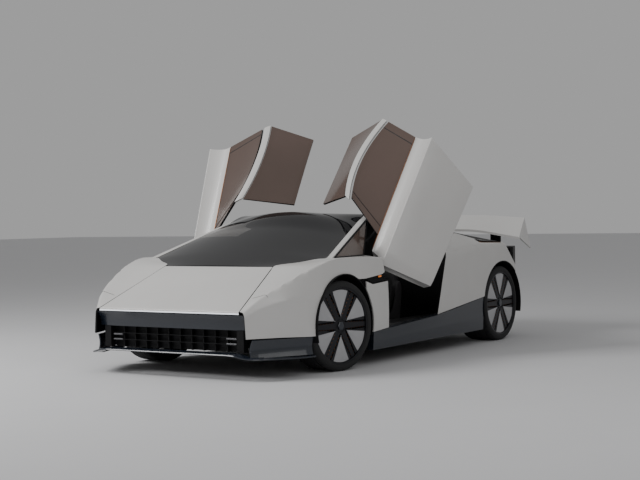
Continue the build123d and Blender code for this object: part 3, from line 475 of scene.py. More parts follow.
def build_materials(look):
    """Every finish of the car, by name."""
    mottled("paint", look.paint, 3.0, 0.96, 0.34, 0.06, Coat_Weight=0.35, Coat_Roughness=0.12)
    mottled("navy", look.navy, 4.0, 0.85, 0.22, 0.05, Coat_Weight=0.5, Coat_Roughness=0.08)
    mottled("black", look.black, 90.0, 0.7, 0.50, 0.15, bump=0.0003, Specular_IOR_Level=0.22)
    mottled("carbon", look.black, 160.0, 0.5, 0.32, 0.15, bump=0.0002, Coat_Weight=0.3)
    mottled("alloy", (0.30, 0.30, 0.31), 60.0, 0.85, 0.32, 0.12, bump=0.0002, Metallic=1.0)
    mottled("steel", (0.22, 0.22, 0.23), 120.0, 0.8, 0.30, 0.15, bump=0.0001, Metallic=1.0)
    mottled("screen", look.screen, 2.0, 0.9, 0.03, 0.02, Transmission_Weight=0.35, IOR=1.45)
    mottled("tint", look.tint, 2.0, 0.9, 0.10, 0.04, Transmission_Weight=0.30, IOR=1.45)
    mottled("smoke", (0.045, 0.045, 0.048), 2.0, 0.9, 0.06, 0.03, Transmission_Weight=0.5, IOR=1.45)
    mottled("hide", look.hide, 420.0, 0.75, 0.48, 0.16, bump=0.0006)
    mottled("lining", (0.022, 0.021, 0.022), 300.0, 0.7, 0.70, 0.15, bump=0.0005)
    mottled("lamp", (0.22, 0.006, 0.006), 30.0, 0.8, 0.10, 0.05, Coat_Weight=1.0,
            Emission_Color=(0.5, 0.01, 0.01, 1), Emission_Strength=0.25)
    mottled("light", (0.75, 0.76, 0.78), 30.0, 0.95, 0.15, 0.05, Coat_Weight=1.0,
            Emission_Color=(0.9, 0.93, 1.0, 1), Emission_Strength=0.9)
    mottled("amber", (0.80, 0.22, 0.02), 30.0, 0.9, 0.15, 0.05, Coat_Weight=1.0,
            Emission_Color=(1.0, 0.25, 0.02, 1), Emission_Strength=0.3)
    mottled("tyre", (0.016, 0.016, 0.017), 200.0, 0.7, 0.72, 0.15, bump=0.0003)
    mottled("rim", (0.030, 0.030, 0.034), 80.0, 0.8, 0.26, 0.1, Metallic=0.7)
    mottled("petal", look.petal, 6.0, 0.95, 0.42, 0.06, Coat_Weight=0.3)
    mottled("copper", look.copper, 50.0, 0.8, 0.24, 0.1, Metallic=1.0)


# ---- sections along the car, in millimetres ----

# columns: y, then (x, z) of the bonnet edge, upper crease, lower crease and foot
FENDER = [
    (-2217, (672, 505), (700, 500), (713, 470), (724, 308)),
    (-2100, (647, 560), (765, 594), (797, 530), (775, 306)),
    (-1950, (613, 631), (829, 670), (903, 577), (852, 304)),
    (-1850, (591, 678), (860, 715), (934, 585), (908, 301)),
    (-1750, (569, 725), (893, 755), (957, 592), (960, 298)),
    (-1650, (547, 773), (921, 793), (974, 597), (985, 297)),
    (-1577, (531, 807), (936, 816), (986, 602), (990, 296)),
    (-1450, (685, 833), (955, 849), (995, 610), (998, 296)),
    (-1346, (812, 857), (964, 861), (1000, 618), (1000, 296)),
    (-1285, (884, 858), (965, 861), (1000, 622), (1000, 296)),
    (-1000, (851, 859.5), (970, 858), (1004, 632), (1004, 296)),
    (-709, (816, 860), (975, 842), (1006, 640), (1006, 296)),
]
# columns: y and z of the line that a front fender ends on behind the wheel
VENT_TOP = [(-1100, 690), (-1004, 690), (-760, 712), (-600, 760)]
# columns: y, then (x, z) of the shoulder's inner edge, side crease and foot
QUARTER = [
    (180, (780, 890), (962, 830), (975, 323)),
    (560, (775, 930), (970, 860), (985, 369)),
    (876, (800, 1010), (980, 891), (992, 407)),
    (1135, (890, 945), (990, 903), (1000, 438)),
    (1500, (978, 912), (1000, 905), (1002, 483)),
    (1720, (985, 712), (1000, 700), (1002, 510)),
]
# columns: y, then (x, z) of the inner belt, shoulder hollow, outer belt and foot
DOOR = [
    (-778, (797.5, 866), (865, 822), (937, 806), (935, 340)),
    (-690, (795.8, 869), (870, 824), (960, 812), (956, 338)),
    (400, (775.5, 897), (850, 850), (966, 839), (970, 325)),
]
# columns: y, then (x, z) of the windscreen's edge and of its middle
SCREEN = [
    (-1577, (524, 800), (0, 806)),
    (-1321, (841.3, 858), (0, 915)),
    (-905, (739.5, 1006.1), (0, 1092)),
    (-590, (662.4, 1118.2), (0, 1222)),
    (-380, (611, 1193), (0, 1204)),
    (-304, (543, 1190), (0, 1194)),
]
# corners of the closed left door's side pane, roof pane and roof rail
WINDOW = np.array([(792.1, -523, 873.6), (775, 400, 898), (505, 517, 1075), (632, -293, 1152)]) / 1000
ROOF_PANE = np.array([(560, -290, 1190), (422, 543, 1107), (30, 421, 1162), (112, -280, 1189)]) / 1000
RAIL = np.array([(632, -320, 1170), (485, 526, 1090), (431, 546, 1111), (567, -285, 1191)]) / 1000
FENDER_CREASE = 0.009  # rounding of the creases, in metres
QUARTER_CREASE = 0.010


def arch(y, axle):
    """Height of the wheel arch at y: the circle about the axle, and 0 beyond it."""
    inside = ARCH_R ** 2 - (y - axle[0]) ** 2
    return np.where(inside > 0, axle[1] + np.sqrt(np.maximum(inside, 0)), 0.0)


def trimmed(sections, floor):
    """Each section (row) read again at even steps from its top down to the height where it meets the
    floor given for its row; sections fall steadily where they meet it."""
    out = np.empty_like(sections)
    steps = np.linspace(0, 1, sections.shape[1])
    for k, (section, low) in enumerate(zip(sections, floor)):
        run = travel(section)
        top = int(np.argmax(section[:, 2]))
        falling = section[top:, 2]
        end = run[-1] if falling[-1] >= low else np.interp(-low, -falling, run[top:])
        for axis in range(3):
            out[k, :, axis] = np.interp(steps * end, run, section[:, axis])
    return out


def sections(rows, y, radius, curve=monotone):
    """Rounded sections of a table at the places y, as a grid of points."""
    lines = rounded(curve(*metres(rows), y), radius)
    return surface(lines[..., 0], y[:, None], lines[..., 1])


def arch_places(axle):
    """Places along the car at even turns round the upper half of the axle's wheel arch."""
    return axle[0] + ARCH_R * np.sin(np.linspace(-math.pi / 2, math.pi / 2, 41))


def fender_skin():
    """Left front fender: sections of the table along y with creases rounded, each cut off where it meets
    the wheel arch or the vent behind the wheel."""
    round_arch = arch_places(FRONT_AXLE)
    nose, door = metres(FENDER)[0][[0, -1]]
    y = np.unique(np.concatenate([np.linspace(nose, round_arch[0], 26), round_arch,
                                  np.linspace(round_arch[-1], door, 14)]))
    vent_y, vent_z = np.array(VENT_TOP).T / 1000.0
    floor = np.maximum(arch(y, FRONT_AXLE), np.where(y > -1.1, np.interp(y, vent_y, vent_z), 0.0))
    return trimmed(sections(FENDER, y, FENDER_CREASE), floor)


def quarter_skin():
    """Left rear quarter: sections of the table, cut by the wheel arch. Ahead of the arch each line along
    the quarter starts at the door opening's slanted edge at its own height, and its sections are read at
    the places it passes."""
    round_arch = arch_places(REAR_AXLE)
    door, tail = metres(QUARTER)[0][[0, -1]]
    y = np.unique(np.concatenate([np.linspace(door, round_arch[0], 40),
                                  round_arch[round_arch < tail], [tail]]))
    grid = trimmed(sections(QUARTER, y, QUARTER_CREASE, steady), arch(y, REAR_AXLE))
    ahead = y < round_arch[0]
    share = ((y[ahead] - door) / (round_arch[0] - door))[:, None]
    own = np.arange(grid.shape[1])
    for _ in range(3):
        front = np.interp(grid[ahead][..., 2], [0.29, 0.325, 0.839, 0.900, 1.1],
                          [0.190, 0.203, 0.393, 0.410, 0.410])
        place = front + share * (round_arch[0] - front)
        whole = trimmed(sections(QUARTER, place.ravel(), QUARTER_CREASE, steady), np.zeros(place.size))
        grid[ahead] = whole.reshape(*place.shape, len(own), 3)[:, own, own]
    return grid


class SUPERCAR_OT_finishes(bpy.types.Operator):
    """Give every part of the frame its finish"""

    bl_idname = "supercar.finishes"
    bl_label = "Finishes"

    def execute(self, context):
        build_materials(context.scene.supercar_finishes)
        slots = {row["node"]: row["material_slot"] for row in frame["record"]["subparts"]}
        for name, node in NODES.items():
            node.data.materials.clear()
            node.data.materials.append(MATERIALS[slots[name]])
        return {"FINISHED"}


def bonnet_half(y):
    """Half width of the bonnet at y, in metres."""
    return np.interp(y, [-2.230, -1.575], [0.667, 0.523])


class SUPERCAR_OT_nose(bpy.types.Operator):
    """Build the bonnet, the light bar under it, the nose band and the intake's slats"""

    bl_idname = "supercar.nose"
    bl_label = "Nose"

    def execute(self, context):
        body = context.scene.supercar_body
        # bonnet: a straight line in side view, with a rise of crown * (1 - (x / half width) ** 4) that
        # grows from the front edge to mid length and fades to the rear edge
        y, z = line((BONNET_FRONT, 0.5021), (BONNET_REAR, 0.8001), 30).T[..., None]
        v = np.linspace(-1, 1, 41)
        rise = body.crown * (1 - v ** 4) * np.sin(np.pi * np.linspace(0.02, 1, 30))[:, None] ** 0.5
        grid = surface(bonnet_half(y) * v, y, z + rise)
        lip_y, lip_z = np.array([(-2.2205, 0.4935), (-2.2222, 0.4958), (-2.2228, 0.4992),
                                 (BONNET_FRONT, 0.5021)]).T[..., None]
        outer = np.concatenate([surface(bonnet_half(BONNET_FRONT) * v, lip_y, lip_z), grid[1:]])
        wall = np.full((len(outer), 1, 1), BONNET_WALL)
        wall[-2:, 0, 0] = 0.008, 0.001  # thinned over the hinge lugs at the rear edge
        make("bonnet_skin", [(skin(outer, wall), ("paint", "carbon"))], "bonnet",
             stands_for=("bonnet",), sharp=50)
        # light bar, with a dark strip behind it, under the bonnet's lip
        make("light_bar", [(crossbar(0.664, -2.2215, 0.4885, oblong(0.006, 0.0095, 0.002)), "light"),
                           (crossbar(0.664, -2.2095, 0.4805, oblong(0.010, 0.008, 0.002)), "black")])
        # nose band: slightly hollow face between its two edges, closed behind
        v = np.linspace(0, 1, 12)
        x = np.linspace(-1, 1, 61)[:, None]
        sweep = 0.012 * (1 - np.abs(x) ** 3)
        face = surface(x * (0.697 + 0.012 * v), -2.213 + 0.056 * v + 0.010 * np.sin(np.pi * v) - sweep,
                       0.478 - 0.113 * v)
        posts = [(block((hand * 0.635 - 0.030, -2.165, 0.2033), (hand * 0.635 + 0.030, -2.115, 0.365)),
                  "black") for hand in (-1, 1)]
        band = skin(face, 0.050)
        band[0][:, 2] = np.minimum(band[0][:, 2], face[..., 2].max())  # flat top, clear of the bonnet
        make("nose_band", [(band, ("navy", "black")), *posts], stands_for=("front_fascia",))
        # intake: two slats across it, and two short bright bars near each end
        parts = [(crossbar(0.60, -2.140, z, oblong(0.020, 0.004, 0.0015)), "black")
                 for z in (0.260, 0.310)]
        parts += [(tube([(x - 0.045, -2.146, z), (x + 0.045, -2.146, z)], oblong(0.012, 0.012, 0.003)),
                   "steel") for x in (-0.545, 0.545) for z in (0.262, 0.300)]
        make("intake_details", parts)
        return {"FINISHED"}


def splitter_path():
    """Outer edge of the blade on the left, from the middle out and back to the wheel, in metres."""
    knots = np.array([(0, -2262, 198), (300, -2262, 198), (560, -2262, 198), (640, -2259, 194),
                      (700, -2240, 178), (760, -2205, 168), (820, -2120, 164), (900, -1960, 160),
                      (955, -1830, 158), (984, -1702, 158)]) / 1000
    run = travel(knots)
    return monotone(run, knots, np.linspace(0, run[-1], 90))


class SUPERCAR_OT_splitter(bpy.types.Operator):
    """Build the splitter blade and the side valances"""

    bl_idname = "supercar.splitter"
    bl_label = "Splitter"

    def execute(self, context):
        # blade: a thin wedge running in from the edge path, its top rising gently. Ahead of y = -2.15 it
        # runs along (-0.35 (x / 0.984) ** 2, 1) in plan, and behind that along (-1, 0.35)
        edge = splitter_path()
        inward = surface(-0.35 * (edge[:, 0] / 0.984) ** 2, 1.0, 0.0)
        inward[edge[:, 1] > -2.15] = [-1.0, 0.35, 0.0]
        inward /= np.linalg.norm(inward, axis=1, keepdims=True)
        profile = np.array([(0.085, 0.005), (0.050, 0.0035), (0.015, 0.001), (0.003, -0.003),
                            (0.0, -0.008), (0.004, -0.013), (0.030, -0.015), (0.085, -0.016)])
        blade = capped(edge[:, None] + inward[:, None] * profile[:, :1] + [0, 0, 1.0] * profile[:, 1:])
        # valance: surface between the fender's foot line and the blade
        y = np.linspace(-2.160, -1.703, 40)
        top = surface(np.interp(y, [-2.217, -2.1, -1.95, -1.85, -1.75, -1.65],
                                [0.724, 0.772, 0.849, 0.905, 0.957, 0.982]) - 0.004, y, 0.294)
        low = surface(top[:, 0] - 0.010 + 0.012 * np.linspace(0, 1, 40), y - 0.012, 0.166)
        face = ruled(top, low, 14)
        face[..., 0] -= 0.014 * np.sin(np.pi * np.linspace(0, 1, 14))
        make("splitter_blade", both_sides([(blade, "navy"), (skin(face, VALANCE_WALL), "navy")]),
             stands_for=("front_splitter",), sharp=40)
        return {"FINISHED"}


class SUPERCAR_OT_fenders(bpy.types.Operator):
    """Build the front fenders, the panels behind the front wheels and their vents"""

    bl_idname = "supercar.fenders"
    bl_label = "Front fenders"

    def execute(self, context):
        body = context.scene.supercar_body
        grid = fender_skin()
        parts = [(skin(grid, body.panel), ("paint", "black"))]
        # panel behind the wheel: between the arch and the door, with a slanted top
        foot, head, door = 0.262, 0.672, -0.672
        z = np.linspace(foot, head, 36)[:, None]
        reach = np.sqrt(np.maximum((ARCH_R + 0.004) ** 2 - (z - FRONT_AXLE[1]) ** 2, 0))
        front = np.maximum(FRONT_AXLE[0] + reach, -1.000)
        y = front + (door - front) * np.linspace(0, 1, 20)
        top = np.interp(y, [-1.0, -0.905, door], [0.667, 0.640, 0.655])
        height = foot + (z - foot) * (top - foot) / (head - foot)
        height = np.maximum(height, 0.256 + (y + 1.0) * 0.073 + 0.004)
        x = 1.0055 - 0.004 * ((z - 0.45) / 0.2) ** 2
        parts.append((skin(surface(x, y, height), 0.010), "paint"))
        # vent: dark slanted slot with blades, and a small amber lamp, between the fender and the panel
        slot_low = line((0.992, -0.915, 0.655), (0.990, -0.675, 0.664), 12)
        slot_high = line((0.986, -1.000, 0.690), (0.982, -0.700, 0.715), 12)
        parts.append((skin(ruled(slot_low, slot_high, columns=6), -0.006), "black"))
        for share in (0.35, 0.7):
            blade = slot_low * (1 - share) + slot_high * share + [0.004, 0, 0]
            parts.append((tube(blade, oblong(0.010, 0.003, 0.001)), "black"))
        marker = line((0.9985, -0.815, 0.697), (0.9985, -0.775, 0.699), 3)
        parts.append((tube(marker, oblong(0.006, 0.014, 0.002)), "amber"))
        make("fender_skins", both_sides(parts), stands_for=("front_fenders",), sharp=40)
        # headlamp covers: the shut line across the upper face behind each cover
        y = grid[:, 0, 1]
        rear = int(np.argmin(np.abs(y + 2.045)))
        crease = int(grid.shape[1] * 0.36)
        lifted = grid[rear] - normals(grid)[rear] * 0.0004
        shut = tube(lifted[2:crease + 1], oblong(body.groove, 0.001, 0.0004))
        make("headlamp_lines", both_sides([(shut, "black")]))
        return {"FINISHED"}


class SUPERCAR_OT_glasshouse(bpy.types.Operator):
    """Build the windscreen with its dark border, the pillars and the quarter glasses"""

    bl_idname = "supercar.glasshouse"
    bl_label = "Glasshouse"

    def execute(self, context):
        # windscreen: at each y a parabola through the two edges and the middle
        places, corners = metres(SCREEN)
        y = np.linspace(places[0], places[-1], 60)
        edge, middle = (monotone(places, corners[:, k], y) for k in (0, 1))
        v = np.linspace(-1, 1, 49)
        bulge = middle[:, 1:] - edge[:, 1:]
        grid = surface(edge[:, :1] * v, y[:, None], edge[:, 1:] + bulge * (1 - v ** 2))
        make("windscreen_glass", [(skin(grid, GLASS_WALL), "screen")],
             stands_for=("windscreen",))
        make("screen_mask", border(grid - [0, 0, GLASS_WALL + 0.0005], 0.003, 4))
        # pillars: strips between the windscreen and the side glass
        y = np.linspace(-1.338, -0.350, 40)
        inner, outer = (surface(np.interp(y, at, x), y, np.interp(y, at, z)) for at, x, z in (
            ([-1.318, -0.380, -0.350], [0.8415, 0.6118, 0.5865], [0.8605, 1.1945, 1.1925]),
            ([-1.338, -0.380, -0.350], [0.897, 0.660, 0.645], [0.8555, 1.1835, 1.1825])))
        strip = ruled(inner, outer, columns=9)
        strip[..., 2] += 0.004 * (1 - np.linspace(-1, 1, 9) ** 2)
        make("pillar_skins", both_sides([(skin(strip, 0.020), "paint")]),
             stands_for=("roof_pillars",), sharp=45)
        # quarter glass with its dark border
        a, b, c = np.array([(884.2, -1285, 859.6), (820, -745, 861.5), (681.7, -448, 1154.1)]) / 1000
        glass = skin(ruled(line(a, b, 24), line(a, c, 24), columns=10)[1:], -0.005)
        centre = (a + b + c) / 3
        ring = [corner + (centre - corner) * 0.035 for corner in (a, b, c, a)]
        edges = [(tube(line(start, end, 4), oblong(0.014, 0.008, 0.002)), "black")
                 for start, end in zip(ring, ring[1:])]
        make("quarter_glass_pane", both_sides([(glass, "tint"), *edges]),
             stands_for=("quarter_glass",))
        return {"FINISHED"}


def door_sections(y):
    """Closed cross sections of the closed left door at the places y: the shoulder is the parabola
    through the inner belt, the hollow and the outer belt; then outer face, foot and inner face."""
    places, corners = metres(DOOR)
    k = np.clip(np.searchsorted(places, y, side="right") - 1, 0, len(places) - 2)
    t = ((y - places[k]) / (places[k + 1] - places[k]))[:, None, None]
    rows = corners[k] * (1 - t) + corners[k + 1] * t
    inner, hollow, outer, foot = (rows[:, i:i + 1] for i in range(4))
    t = np.linspace(0, 1, 9)[None, :, None]
    shoulder = inner * (1 - t) * (1 - 2 * t) + hollow * 4 * t * (1 - t) + outer * t * (2 * t - 1)
    loop = np.concatenate([shoulder, foot, foot - [DOOR_WALL, 0], outer - [DOOR_WALL, 0.120],
                           inner - [0.014, 0.022], inner], axis=1)
    return rounded(loop, 0.006, 3, 3)[:, :-1]


def door_grid(rows=48):
    """Left door, closed: its sections read so that each line along the door runs between the slanted
    front and rear edges at its own height."""
    share = np.linspace(0, 1, rows)[:, None]
    columns = door_sections(np.zeros(1)).shape[1]
    pick = np.arange(columns)
    y = np.broadcast_to(-0.700 + 1.05 * share, (rows, columns))
    for _ in range(3):
        points = door_sections(y.ravel()).reshape(rows, columns, columns, 2)[:, pick, pick]
        z = points[..., 1]
        depth = np.clip((0.970 - points[..., 0]) / DOOR_WALL, 0, 1.5)
        front = np.interp(z, [0.344, 0.806, 0.830, 0.900], [-0.736, -0.778, -0.700, -0.640])
        rear = np.interp(z, [0.325, 0.839, 0.900], [0.197, 0.387, 0.402])
        rear -= depth * np.interp(z, [0.325, 0.839], [0.050, 0.0])
        y = front + share * (rear - front)
    return surface(points[..., 0], y, z)


class SUPERCAR_OT_doors(bpy.types.Operator):
    """Build the scissor doors: shells, panes, roof rails, frames and linings"""

    bl_idname = "supercar.doors"
    bl_label = "Doors"

    def execute(self, context):
        body = context.scene.supercar_body
        # bow: it points along (-0.933, -0.360, 0) with the door up, and is turned back with the door
        bow = turned(np.array([-0.933, -0.360, 0.0]), np.zeros(3), DOOR_AXIS, -DOOR_OPEN) * body.bow
        # shell with a copper line along the belt and a swelling trim pad inside
        belt = line((0.7950, -0.640, 0.8730), (0.7765, 0.385, 0.8990), 30)
        trim = ruled(line((0.8285, -0.660, 0.380), (0.8440, 0.150, 0.370), 24),
                     line((0.8260, -0.690, 0.650), (0.8405, 0.290, 0.690), 24), columns=14)
        along, across = (np.sin(np.pi * np.linspace(0, 1, count)) for count in (24, 14))
        trim[..., 0] -= 0.002 + 0.010 * (along[:, None] * across) ** 0.6
        window = ruled(line(WINDOW[0], WINDOW[1]), bowed(WINDOW[3], WINDOW[2], bow))
        roof = ruled(bowed(ROOF_PANE[0], ROOF_PANE[1], bow), line(ROOF_PANE[3], ROOF_PANE[2]))
        rail = ruled(bowed(RAIL[0], RAIL[1], bow), bowed(RAIL[3], RAIL[2], bow), columns=9)
        rail += normals(rail) * 0.003 * (1 - np.linspace(-1, 1, 9) ** 2)[:, None]
        carrier = (rail - normals(rail) * (RAIL_WALL + UNDER))[1:-1, 2:7]
        # hinge eye, where the hinge line passes x = 0.737, and the goose-neck arm from it
        ring = spun([(-0.015, 0.0123), (-0.015, 0.0205), (0.015, 0.0205), (0.015, 0.0123)], 32)
        eye = DOOR_HINGE + DOOR_AXIS * ((0.737 - DOOR_HINGE[0]) / DOOR_AXIS[0])
        arm = np.array([(734, -622, 948), (726, -580, 915), (763, -464, 880)]) / 1000
        panels = [(capped(door_grid()), "paint"), (tube(belt, oval(0.0025, 0.0025, 8)), "copper"),
                  (skin(trim, 0.004), "lining")]
        lifted = window + normals(window) * 0.0005
        panes = [*[(skin(pane, -GLASS_WALL), ("tint", "smoke")) for pane in (window, roof)],
                 *[(tube(lifted[row], oblong(0.007, 0.0012, 0.0005)), "black") for row in (3, -4)]]
        frames = [part for pane in (window, roof)
                  for part in border(pane - normals(pane) * (GLASS_WALL + UNDER), -0.012)]
        frames += [(skin(carrier, -0.015), "black"), (aimed(ring, DOOR_AXIS, eye), "black"),
                   (tube(rounded(arm, 0.03), oblong(0.018, 0.018, 0.003)), "black")]
        for hand in ("left", "right"):
            for name, parts, slot, node in (("door_panel", panels, "paint", "door_shell"),
                                            ("door_panes", panes, "tint", "door_glass"),
                                            ("door_frames", frames, "black", "door_frame"),
                                            ("roof_rail", [(skin(rail, -RAIL_WALL), "paint")], "paint",
                                             "door_rail")):
                up = [((turned(points, DOOR_HINGE, DOOR_AXIS, DOOR_OPEN), *rest), finish)
                      for (points, *rest), finish in parts]
                if hand == "right":
                    up = [(mirrored(part), finish) for part, finish in up]
                make(f"{name}_{hand}", up, f"door_{hand}", (f"{node}_{hand}",), sharp=40)
        return {"FINISHED"}


class SUPERCAR_OT_flanks(bpy.types.Operator):
    """Build the rear quarters with their vents, and the side skirts"""

    bl_idname = "supercar.flanks"
    bl_label = "Flanks"

    def execute(self, context):
        parts = [(skin(quarter_skin(), QUARTER_WALL), ("paint", "black"))]
        # vent on the shoulder, from 0.22 to 0.66 of the way from its inner edge to the crease
        y = np.linspace(1.075, 1.440, 24)
        places, corners = metres(QUARTER)
        inner, crease = steady(places, corners, y)[:, :2].swapaxes(0, 1)
        share = np.linspace(0.22, 0.66, 8)[None, :, None]
        mouth = inner[:, None] * (1 - share) + crease[:, None] * share
        mouth = surface(mouth[..., 0], y[:, None], mouth[..., 1] + 0.002)
        parts.append((skin(mouth, 0.003), "black"))
        for k in (1, 3, 5):
            parts.append((tube(mouth[1:-1, k] + [0, 0, 0.002], oblong(0.012, 0.003, 0.001)), "black"))
        parts.append((tube(mouth[:, -1], oval(0.0025, 0.0020, 8)), "copper"))
        make("quarter_skins", both_sides(parts), stands_for=("rear_quarters",), sharp=45)
        # skirt: outer face folded at mid height, running back to the rear arch
        y = np.linspace(-0.886, 1.055, 60)
        v = np.linspace(0, 1, 16)
        top = np.interp(y, [-0.886, 0.203, 1.055], [0.264, 0.322, 0.4236])
        low = np.interp(y, [-0.886, 1.055], [0.120, 0.130])
        z = top[:, None] * (1 - v) + low[:, None] * v
        x = 0.991 - 0.004 * np.sin(np.pi * v) - 0.020 * np.clip(v - 0.55, 0, 1)
        face = skin(surface(x, y[:, None], z), SKIRT_WALL)
        make("skirt_skins", both_sides([(face, "navy")]), stands_for=("side_skirts",),
             sharp=40)
        return {"FINISHED"}


class SUPERCAR_OT_tail(bpy.types.Operator):
    """Build the rear wing, the engine cover's louvres, the tail lamp and the tail's slats"""

    bl_idname = "supercar.tail"
    bl_label = "Tail"

    def execute(self, context):
        # wing: from tip to tip; its top is the straight chord plus 4 h t (1 - t), h = 4 mm
        lead = np.array([(0, 1800, 1035), (430, 1815, 1030), (985, 1850, 951)]) / 1000
        trail = np.array([(0, 2150, 1172), (430, 2150, 1166), (905, 2150, 1135)]) / 1000
        span = np.linspace(-1, 1, 81)
        run = np.array([0, 0.43, 1.0])
        flip = surface(np.where(span < 0, -1.0, 1.0), 1.0, 1.0)
        front, back = (monotone(run, edge, np.abs(span)) * flip for edge in (lead, trail))
        above = ruled(front, back, 18)
        below = above[:, ::-1] + [0, 0.006, -0.022]
        t = np.linspace(0, 1, 18)
        above[..., 2] += 4 * 0.004 * t * (1 - t)
        wing = capped(np.concatenate([above, below], axis=1))
        # end plate: straight lines from the wing's tip to the line between its lower corner and tip
        tip = np.array([0.915, 2.265, 0.836])
        low = line(lead[2], tip, 20)
        high = line(lead[2] * 0.98 + trail[2] * 0.02, trail[2], 20)
        plate = skin(ruled(high, low, columns=14)[1:], PLATE_WALL)
        stay = tube([(0.640, 2.050, 0.862), (0.640, 2.048, 1.060)], oblong(0.110, 0.036, 0.015))
        make("wing_skins", [(wing, "paint"), *both_sides([(plate, "paint"), (stay, "black")])],
             stands_for=("rear_wing",), sharp=40)
        # louvres: slats across the engine cover, standing on its top face
        slats = [(crossbar(0.47, y, np.interp(y, [0.647, 1.690], [1.0900, 0.9600]) + 0.004,
                           oblong(0.070, 0.008, 0.003)), "carbon") for y in np.linspace(0.78, 1.56, 7)]
        make("cover_louvres", slats, "engine_cover")
        # tail lamp: one rounded bar; below it, slats across the fascia's rear face
        lamp = crossbar(0.740, 2.157, 0.775, oblong(0.014, 0.030, 0.005), 30)
        make("lamp_bar", [(lamp, "lamp")], stands_for=("tail_lamp",))
        slats = [(crossbar(0.69, 2.150, z, oblong(0.008, 0.012, 0.002)), "carbon")
                 for z in np.linspace(0.44, 0.66, 7)]
        make("tail_slats", slats)
        return {"FINISHED"}


def on_axle(part, end, hand):
    """A left wheel's part, made about the X axis, on its axle; steered about the kingpin if in front."""
    axle = FRONT_AXLE if end == "front" else REAR_AXLE
    points = part[0] * (MIRROR if hand == "right" else 1.0) + [0, axle[0], axle[1]]
    if end == "front":
        pin = np.array([KINGPIN_X if hand == "left" else -KINGPIN_X, FRONT_AXLE[0], 0])
        points = turned(points, pin, np.array([0, 0, 1.0]), STEER_REST)
    return (points, *part[1:])


def tyre_part(width, depth, count=240):
    """Tyre turned about X: bulged walls, four grooves round the tread, and cuts across its shoulders at
    every sixth step of the turn."""
    outer, inner = WHEEL_FACE, WHEEL_FACE - width
    wall = [(-0.004, 0.2925), (-0.0005, 0.300), (0.0, 0.312), (-0.002, 0.326), (-0.009, 0.338),
            (-0.020, 0.3445), (-0.026, TYRE_R), (-0.040, TYRE_R)]
    groove = [(0.006, TYRE_R), (0.004, TYRE_R - depth), (-0.004, TYRE_R - depth), (-0.006, TYRE_R)]
    tread = [(inner + width * share + x, r) for share in (0.80, 0.60, 0.40, 0.20) for x, r in groove]
    profile = [(outer + x, r) for x, r in wall] + tread + [(inner - x, r) for x, r in reversed(wall)]
    points, faces, front = spun(profile, count)
    ring = np.arange(count).repeat(len(profile))
    place = points[:, 0]
    shoulder = np.minimum(outer - place, place - inner) < 0.045
    cut = shoulder & (np.hypot(points[:, 1], points[:, 2]) > 0.342) & (ring % 6 == 0)
    points[cut, 1:] *= 1 - depth / TYRE_R
    return points, faces, front


def spoke_half(radius):
    """Half width of a spoke at a radius."""
    return np.interp(radius, [0.060, RIM_R], [0.031, 0.023])


def spoke_parts():
    """Six dark spokes along the radius with bevelled faces, each with copper dashes along both edges."""
    radius = np.linspace(0.045, 0.284, 24)
    half = spoke_half(radius)
    section = np.array([(-1, 0.937), (-1, 0.953), (-0.72, 0.9615), (0.72, 0.9615), (1, 0.953),
                        (1, 0.937)])
    parts = [(capped(surface(section[:, 1], radius[:, None], half[:, None] * section[:, 0])), "rim")]
    for side in (-1, 1):
        edge = surface(0.9600, radius, side * 0.86 * half)
        parts += [(tube(edge[start:start + 2], oval(0.0019, 0.0014, 8)), "copper")
                  for start in range(4, 23, 3)]
    return [(round_x(part, k * SPOKE_TURN), finish) for k in range(SPOKES) for part, finish in parts]


def petal_parts():
    """Six inserts in polar coordinates between the spokes, dark along their sides, with a V rib along
    each one's middle: x = 0.9610 + 0.0065 (1 - |u|), u being -1 and 1 at the sides."""
    radius = np.linspace(0.073, 0.2755, 24)[:, None]
    gap = np.arcsin((spoke_half(radius) + 0.007) / radius)
    u = np.linspace(-1, 1, 25)
    turn = SPOKE_TURN / 2 + u * np.maximum(SPOKE_TURN / 2 - gap, 0.002)
    grid = surface(0.9610 + 0.0065 * (1 - np.abs(u)), radius * np.cos(turn), radius * np.sin(turn))
    panes = [(skin(part, -0.004), finish) for part, finish in (
        (grid[:, :4], "rim"), (grid[:, 3:22], "petal"), (grid[:, 21:], "rim"))]
    return [(round_x(pane, k * SPOKE_TURN), finish) for k in range(SPOKES) for pane, finish in panes]


def rim_parts(width):
    """Barrel with its lip, hub plate, spokes and six-sided cap."""
    inner = WHEEL_FACE - width + 0.004
    barrel = spun([(0.974, 0.2915), (0.9745, 0.287), (0.972, 0.281), (0.962, 0.2785), (0.900, 0.2725),
                   (inner + 0.03, 0.2725), (inner, 0.279), (inner, 0.2915)], 120)
    plate = spun([(0.936, CORE), (0.936, 0.060), (0.956, 0.060), (0.9615, 0.055), (0.9615, CORE)], 48)
    turn = np.arange(SPOKES) * SPOKE_TURN
    x, radius = np.array([(0.955, 0.034), (0.969, 0.034), (0.972, 0.029)]).T[..., None]
    cap = capped(surface(x, radius * np.cos(turn), radius * np.sin(turn)))
    return [(barrel, "rim"), (plate, "rim"), (cap, "navy"), *spoke_parts()]


def hub_parts(shaft):
    """Brake disc with a slot round its rim, hub, and the drive shaft behind it where there is one."""
    bore = CORE if shaft else 0.0305
    disc = spun([(0.876, 0.062), (0.876, 0.190), (0.886, 0.190), (0.887, 0.150), (0.897, 0.150),
                 (0.898, 0.190), (0.908, 0.190), (0.908, 0.062)], 96)
    parts = [disc, spun([(0.856, bore), (0.856, 0.060), (0.9357, 0.060), (0.9357, bore)], 48)]
    if shaft:
        parts.append(spun([(0.3655, CORE), (0.3655, 0.024), (0.856, 0.024), (0.856, CORE)], 32))
    return [(part, "steel") for part in parts]


